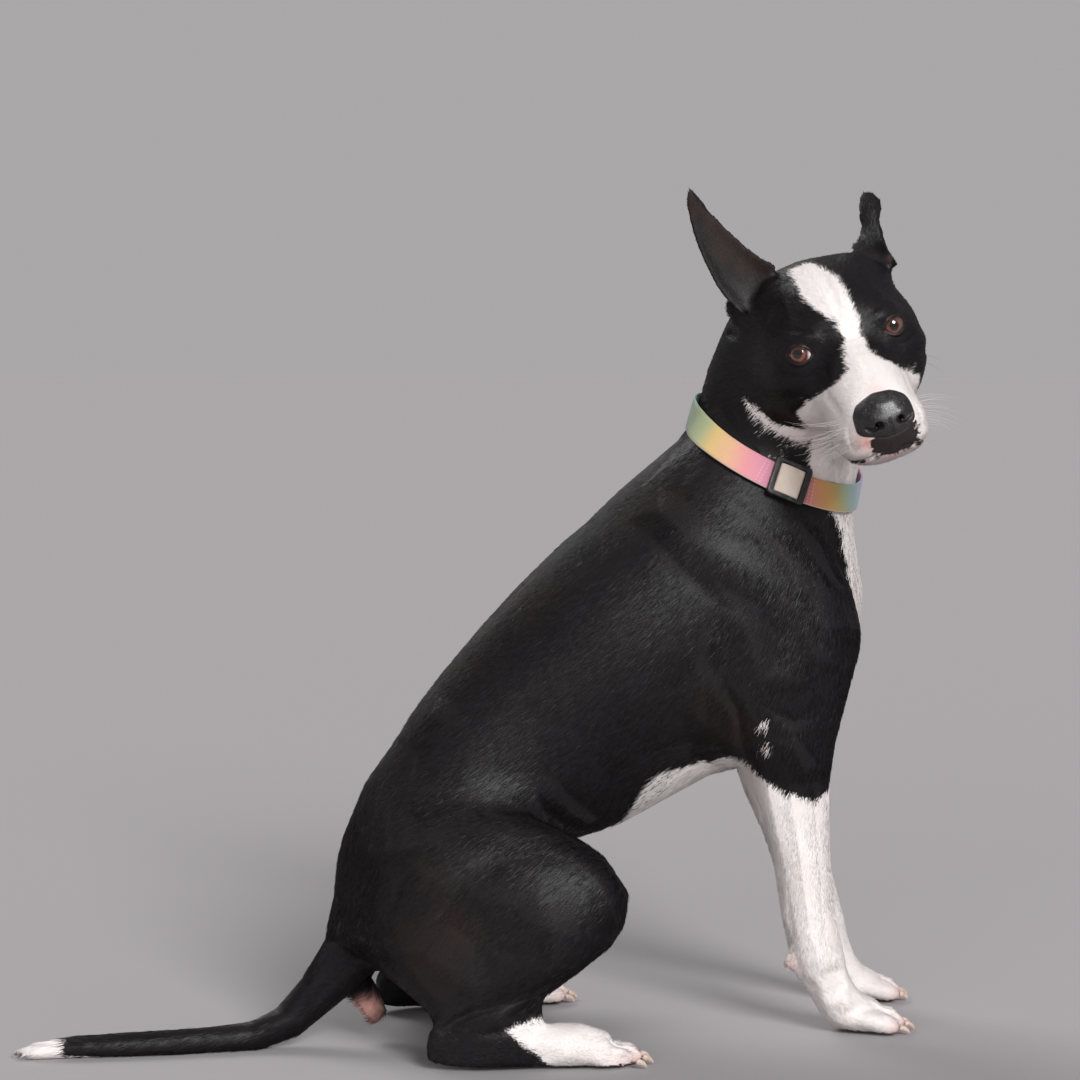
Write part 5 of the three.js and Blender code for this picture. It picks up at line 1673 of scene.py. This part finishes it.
def whiskerTree(name, material):
    # a bent, tapered hair set on every root and aimed along the root's own direction
    tree, given, made = geometryTree(name, [
        ("Length", "NodeSocketFloat", 0.03), ("Thickness", "NodeSocketFloat", 0.0003),
        ("Bend", "NodeSocketFloat", 0.008), ("Seed", "NodeSocketInt", 1)])
    nodes, links = tree.nodes, tree.links
    bow = nodes.new("GeometryNodeCurveQuadraticBezier")
    bow.inputs["Resolution"].default_value = 7
    bow.inputs["Start"].default_value = (0, 0, 0)
    half = mathNode(tree, "MULTIPLY", given.outputs["Length"], 0.55)
    links.new(combined(tree, Z=half), bow.inputs["Middle"])
    links.new(combined(tree, X=given.outputs["Bend"], Z=given.outputs["Length"]), bow.inputs["End"])
    along = nodes.new("GeometryNodeSplineParameter")
    taper = nodes.new("ShaderNodeMapRange")
    taper.inputs["To Min"].default_value = 1.0
    taper.inputs["To Max"].default_value = 0.12
    links.new(along.outputs["Factor"], taper.inputs["Value"])
    ring = nodes.new("GeometryNodeCurvePrimitiveCircle")
    ring.inputs["Resolution"].default_value = 6
    links.new(given.outputs["Thickness"], ring.inputs["Radius"])
    tube = nodes.new("GeometryNodeCurveToMesh")
    tube.inputs["Fill Caps"].default_value = True
    links.new(bow.outputs[0], tube.inputs["Curve"])
    links.new(ring.outputs["Curve"], tube.inputs["Profile Curve"])
    links.new(taper.outputs["Result"], tube.inputs["Scale"])

    roots = nodes.new("GeometryNodeMeshToPoints")
    links.new(given.outputs["Geometry"], roots.inputs["Mesh"])
    turn = nodes.new("FunctionNodeAlignRotationToVector")
    turn.axis = "Z"
    links.new(rootValue(tree, "aim", "FLOAT_VECTOR"), turn.inputs["Vector"])
    vary = nodes.new("FunctionNodeRandomValue")
    vary.data_type = "FLOAT"
    vary.inputs[2].default_value = 0.8
    vary.inputs[3].default_value = 1.15
    links.new(given.outputs["Seed"], vary.inputs["Seed"])
    scale = mathNode(tree, "MULTIPLY", rootValue(tree, "size", "FLOAT"), vary.outputs[1])
    return finishTree(tree, made, material, roots.outputs["Points"], tube.outputs["Mesh"],
                      turn.outputs[0], scale)


def finishTree(tree, made, material, points, instance, rotation, scale):
    # a copy on every point, made real, smooth and of one material
    place = tree.nodes.new("GeometryNodeInstanceOnPoints")
    for name, value in (("Points", points), ("Instance", instance), ("Rotation", rotation), ("Scale", scale)):
        tree.links.new(value, place.inputs[name])
    solid = tree.nodes.new("GeometryNodeRealizeInstances")
    tree.links.new(place.outputs["Instances"], solid.inputs["Geometry"])
    smooth = tree.nodes.new("GeometryNodeSetShadeSmooth")
    tree.links.new(solid.outputs[0], smooth.inputs["Geometry"])
    finish = tree.nodes.new("GeometryNodeSetMaterial")
    finish.inputs["Material"].default_value = material
    tree.links.new(smooth.outputs[0], finish.inputs["Geometry"])
    tree.links.new(finish.outputs[0], made.inputs["Geometry"])
    return tree


def grown(name, base, tree, values):
    # the tree run on a base mesh, and its result kept as a plain piece
    holder = newObject(name + "_base", base)
    modifier = holder.modifiers.new(name, "NODES")
    modifier.node_group = tree
    for item in tree.interface.items_tree:
        if item.in_out == "INPUT" and item.name in values:
            modifier[item.identifier] = values[item.name]
    mesh = evaluated(holder)
    bpy.data.objects.remove(holder)
    piece = newObject(name, mesh)
    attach(piece, "root")
    return piece


def rootsMesh(name, places, aims, sizes):
    mesh = meshFrom(name, places, [])
    setAttribute(mesh, "aim", np.array(aims, float))
    setAttribute(mesh, "size", np.array(sizes, float))
    return mesh


def hairRoots(tree):
    # whiskers on the muzzle and the chin, then hairs over the eyes and on the cheeks: places, aims and sizes
    rng = np.random.default_rng(hairRows["seed"])
    whiskers, brows = [], []
    for s in (-1, 1):
        for row, z in enumerate(hairRows["heights"]):
            for k in range(hairRows["inRow"]):
                place = np.array([80 - 6.5 * k - 1.5 * row, s * (22 + 2.6 * k), z + 0.8 * k])
                place = place + rng.normal(0, 0.8, 3)
                aim = unit([0.25 - 0.16 * k, s, -0.05 - 0.13 * row]) + rng.normal(0, 0.07, 3)
                whiskers.append((place, aim, 0.55 + 0.14 * k))
        for k in range(hairRows["onChin"]):
            place = np.array([62 - 9 * k, s * (13 + 2 * k), -96])
            whiskers.append((place, unit([0.3, s * 0.45, -1.0]), 0.35))
        for k in range(hairRows["overEye"]):
            place = np.array([4 - 7 * k, s * (30 + 4.5 * k), 19 + 2.0 * k])
            brows.append((place, unit([0.55, s * (0.1 + 0.2 * k), 1.0]) + rng.normal(0, 0.06, 3), 0.75))
        brows.append((np.array([-36, s * 66, -44]), unit([0.1, s, -0.4]), 0.9))
        brows.append((np.array([-33, s * 66, -50]), unit([0.1, s, -0.6]), 0.8))
    made = []
    for hairs in (whiskers, brows):
        places = ontoSurface(tree, fromHead([p for p, _, _ in hairs]))
        aims = np.array([a for _, a, _ in hairs]) @ headAxes
        made.append((places, aims, [size for _, _, size in hairs]))
    return made


def hairMap(piece, roots, rootMaps):
    # each hair's patch of the skin's map
    points = coordsOf(piece.data)
    nearest = np.argmin(np.linalg.norm(points[:, None] - roots[None], axis=2), axis=1)
    split = len(points) // len(roots)
    owner = np.repeat(nearest.reshape(len(roots), split)[:, 0], split)
    spread = (points - roots[owner])[:, [0, 2]]
    spread = spread / np.maximum(np.abs(spread).max(), 1e-6) * coatSizes["patch"] / 2
    addPointMap(piece.data, "OFBake", rootMaps[owner] + spread)
    normals = np.repeat(unit(np.ones((1, 3))), len(points), 0)
    addTones(piece.data, roots[owner], normals)


def skinMapAt(places):
    # where points on the skin lie in its map
    mesh = skin.data
    corners = mapOf(mesh, "OFBake")
    tree = treeOf(mesh)
    faces = [tree.find_nearest(Vector(p * mm))[2] for p in places]
    return np.array([corners[list(mesh.polygons[f].loop_indices)].mean(0) for f in faces])


def growWhiskers():
    pale = newMaterial("whiskerPale", base=(0.62, 0.58, 0.55), rough=0.45)[0]
    dark = newMaterial("browHair", base=(0.012, 0.010, 0.010), rough=0.4)[0]
    kinds = (("whisker", pale), ("brow", dark))
    for (name, material), (places, aims, sizes) in zip(kinds, hairRoots(treeOf(skin.data))):
        chosen = hairSizes[name]
        values = {"Length": chosen["length"] * mm, "Thickness": chosen["thick"] * mm / 2,
                  "Bend": chosen["bend"] * mm, "Seed": chosen["seed"]}
        tree = whiskerTree(name + "Tree", material)
        piece = grown(name + "Hairs", rootsMesh(name + "Roots", places, aims, sizes), tree, values)
        hairMap(piece, places, skinMapAt(places))
        print(name, "hairs", len(piece.data.polygons))


def stitchTree(material):
    # short threads one behind another along every line of the base
    tree, given, made = geometryTree("stitchTree", [
        ("Length", "NodeSocketFloat", 0.002), ("Thickness", "NodeSocketFloat", 0.0005),
        ("Gap", "NodeSocketFloat", 0.003)])
    nodes, links = tree.nodes, tree.links
    line = nodes.new("GeometryNodeMeshToCurve")
    links.new(given.outputs["Geometry"], line.inputs["Mesh"])
    spaced = nodes.new("GeometryNodeCurveToPoints")
    spaced.mode = "LENGTH"
    links.new(line.outputs[0], spaced.inputs["Curve"])
    links.new(given.outputs["Gap"], spaced.inputs["Length"])
    thread = nodes.new("GeometryNodeMeshUVSphere")
    thread.inputs["Segments"].default_value = 8
    thread.inputs["Rings"].default_value = 6
    thread.inputs["Radius"].default_value = 0.5
    thick = given.outputs["Thickness"]
    size = combined(tree, X=thick, Y=thick, Z=given.outputs["Length"])
    return finishTree(tree, made, material, spaced.outputs["Points"], thread.outputs[0],
                      spaced.outputs["Rotation"], size)


def sewCollar():
    # rows of stitches across the strap on both sides of the buckle and of the slide
    thread = newMaterial("stitchThread", base=(0.70, 0.62, 0.52), rough=0.7)[0]
    lines, edges = [], []
    at = lengthRound(strapMiddle)[:-1]
    buckle = at[np.argmin(np.linalg.norm(strapMiddle - middleOf("collar_buckle"), axis=1))]
    for middle, beside in ((buckle, stitchSizes["besideBuckle"]), (0.0, stitchSizes["besideSlide"])):
        for row in stitchSizes["rows"]:
            far = (middle + math.copysign(beside + abs(row), row)) % at[-1]
            i = np.argmin(np.abs(at - far))
            base = len(lines)
            for v in np.linspace(-stitchSizes["rowHalf"], stitchSizes["rowHalf"], 9):
                lines.append(strapMiddle[i] + strapAcross[i] * v + strapOut[i] * stitchSizes["lift"])
            edges += [(base + k, base + k + 1) for k in range(8)]
    base = bpy.data.meshes.new("stitchLines")
    base.from_pydata([Vector(p * mm) for p in lines], edges, [])
    values = {"Length": stitchSizes["length"] * mm, "Thickness": stitchSizes["thick"] * mm,
              "Gap": stitchSizes["gap"] * mm}
    piece = grown("collarStitches", base, stitchTree(thread), values)
    print("stitches", len(piece.data.polygons))


growWhiskers()
sewCollar()


# floor, light and camera
studio = {
    "azimuth": -14.0, "distance": 2600.0, "height": 600.0, "target": (51.489, 63.852, 427.8),
    "lens": 99.63, "floorTone": (0.420, 0.402, 0.4115), "air": (1.0, 0.97, 1.0), "airStrength": 0.24,
    "backTone": (0.4063, 0.3883, 0.3973), "floorReach": (60000, 6000, 90000), "litPlace": (50, 50, 400),
    "lights": {"key": [(500, -2600, 1900), 22, 2.5], "fill": [(-1200, -2400, 450), 60, 1.9],
               "back": [(-900, 1700, 2300), 30, 1.2]},
}


def addCamera():
    a = math.radians(studio["azimuth"])
    target = np.array(studio["target"])
    rise = math.asin((studio["height"] - target[2]) / studio["distance"])
    back = np.array([math.sin(a) * math.cos(rise), -math.cos(a) * math.cos(rise), math.sin(rise)])
    camera = bpy.data.objects.new("camera", bpy.data.cameras.new("camera"))
    bpy.context.scene.collection.objects.link(camera)
    camera.location = (target + back * studio["distance"]) * mm
    camera.rotation_euler = Vector(-back).to_track_quat("-Z", "Y").to_euler()
    camera.data.lens = studio["lens"]
    camera.data.sensor_width = 36
    camera.data.clip_end = 50
    bpy.context.scene.camera = camera


def addFloor():
    side, near, far = studio["floorReach"]
    corners = [(-side, -near, 0), (side, -near, 0), (side, far, 0), (-side, far, 0)]
    floor = newObject("floor", meshFrom("floor", corners, [(0, 1, 2, 3)]))
    paper = newMaterial("floorPaper", base=studio["floorTone"], rough=1.0, specular=0.0)[0]
    floor.data.materials.append(paper)


def addWorld():
    # the world lights the dog softly, and the camera sees it in the far floor's own tone
    world = bpy.data.worlds.new("studio")
    bpy.context.scene.world = world
    world.use_nodes = True
    tree = world.node_tree
    soft = tree.nodes["Background"]
    soft.inputs["Color"].default_value = studio["air"] + (1,)
    soft.inputs["Strength"].default_value = studio["airStrength"]
    seen = tree.nodes.new("ShaderNodeBackground")
    seen.inputs["Color"].default_value = studio["backTone"] + (1,)
    mix = tree.nodes.new("ShaderNodeMixShader")
    path = tree.nodes.new("ShaderNodeLightPath")
    tree.links.new(path.outputs["Is Camera Ray"], mix.inputs[0])
    tree.links.new(soft.outputs[0], mix.inputs[1])
    tree.links.new(seen.outputs[0], mix.inputs[2])
    tree.links.new(mix.outputs[0], tree.nodes["World Output"].inputs["Surface"])


def addLights():
    for name, (place, softness, power) in studio["lights"].items():
        lamp = bpy.data.lights.new(name, "SUN")
        lamp.angle = math.radians(softness)
        lamp.energy = power
        obj = bpy.data.objects.new(name, lamp)
        obj.location = np.array(place) * mm
        aim = Vector(studio["litPlace"]) * mm - obj.location
        obj.rotation_euler = aim.to_track_quat("-Z", "Y").to_euler()
        obj.visible_glossy = name != "fill"
        bpy.context.scene.collection.objects.link(obj)


addCamera()
addFloor()
addWorld()
addLights()
bpy.context.scene.view_settings.view_transform = "Standard"
print("studio ready")
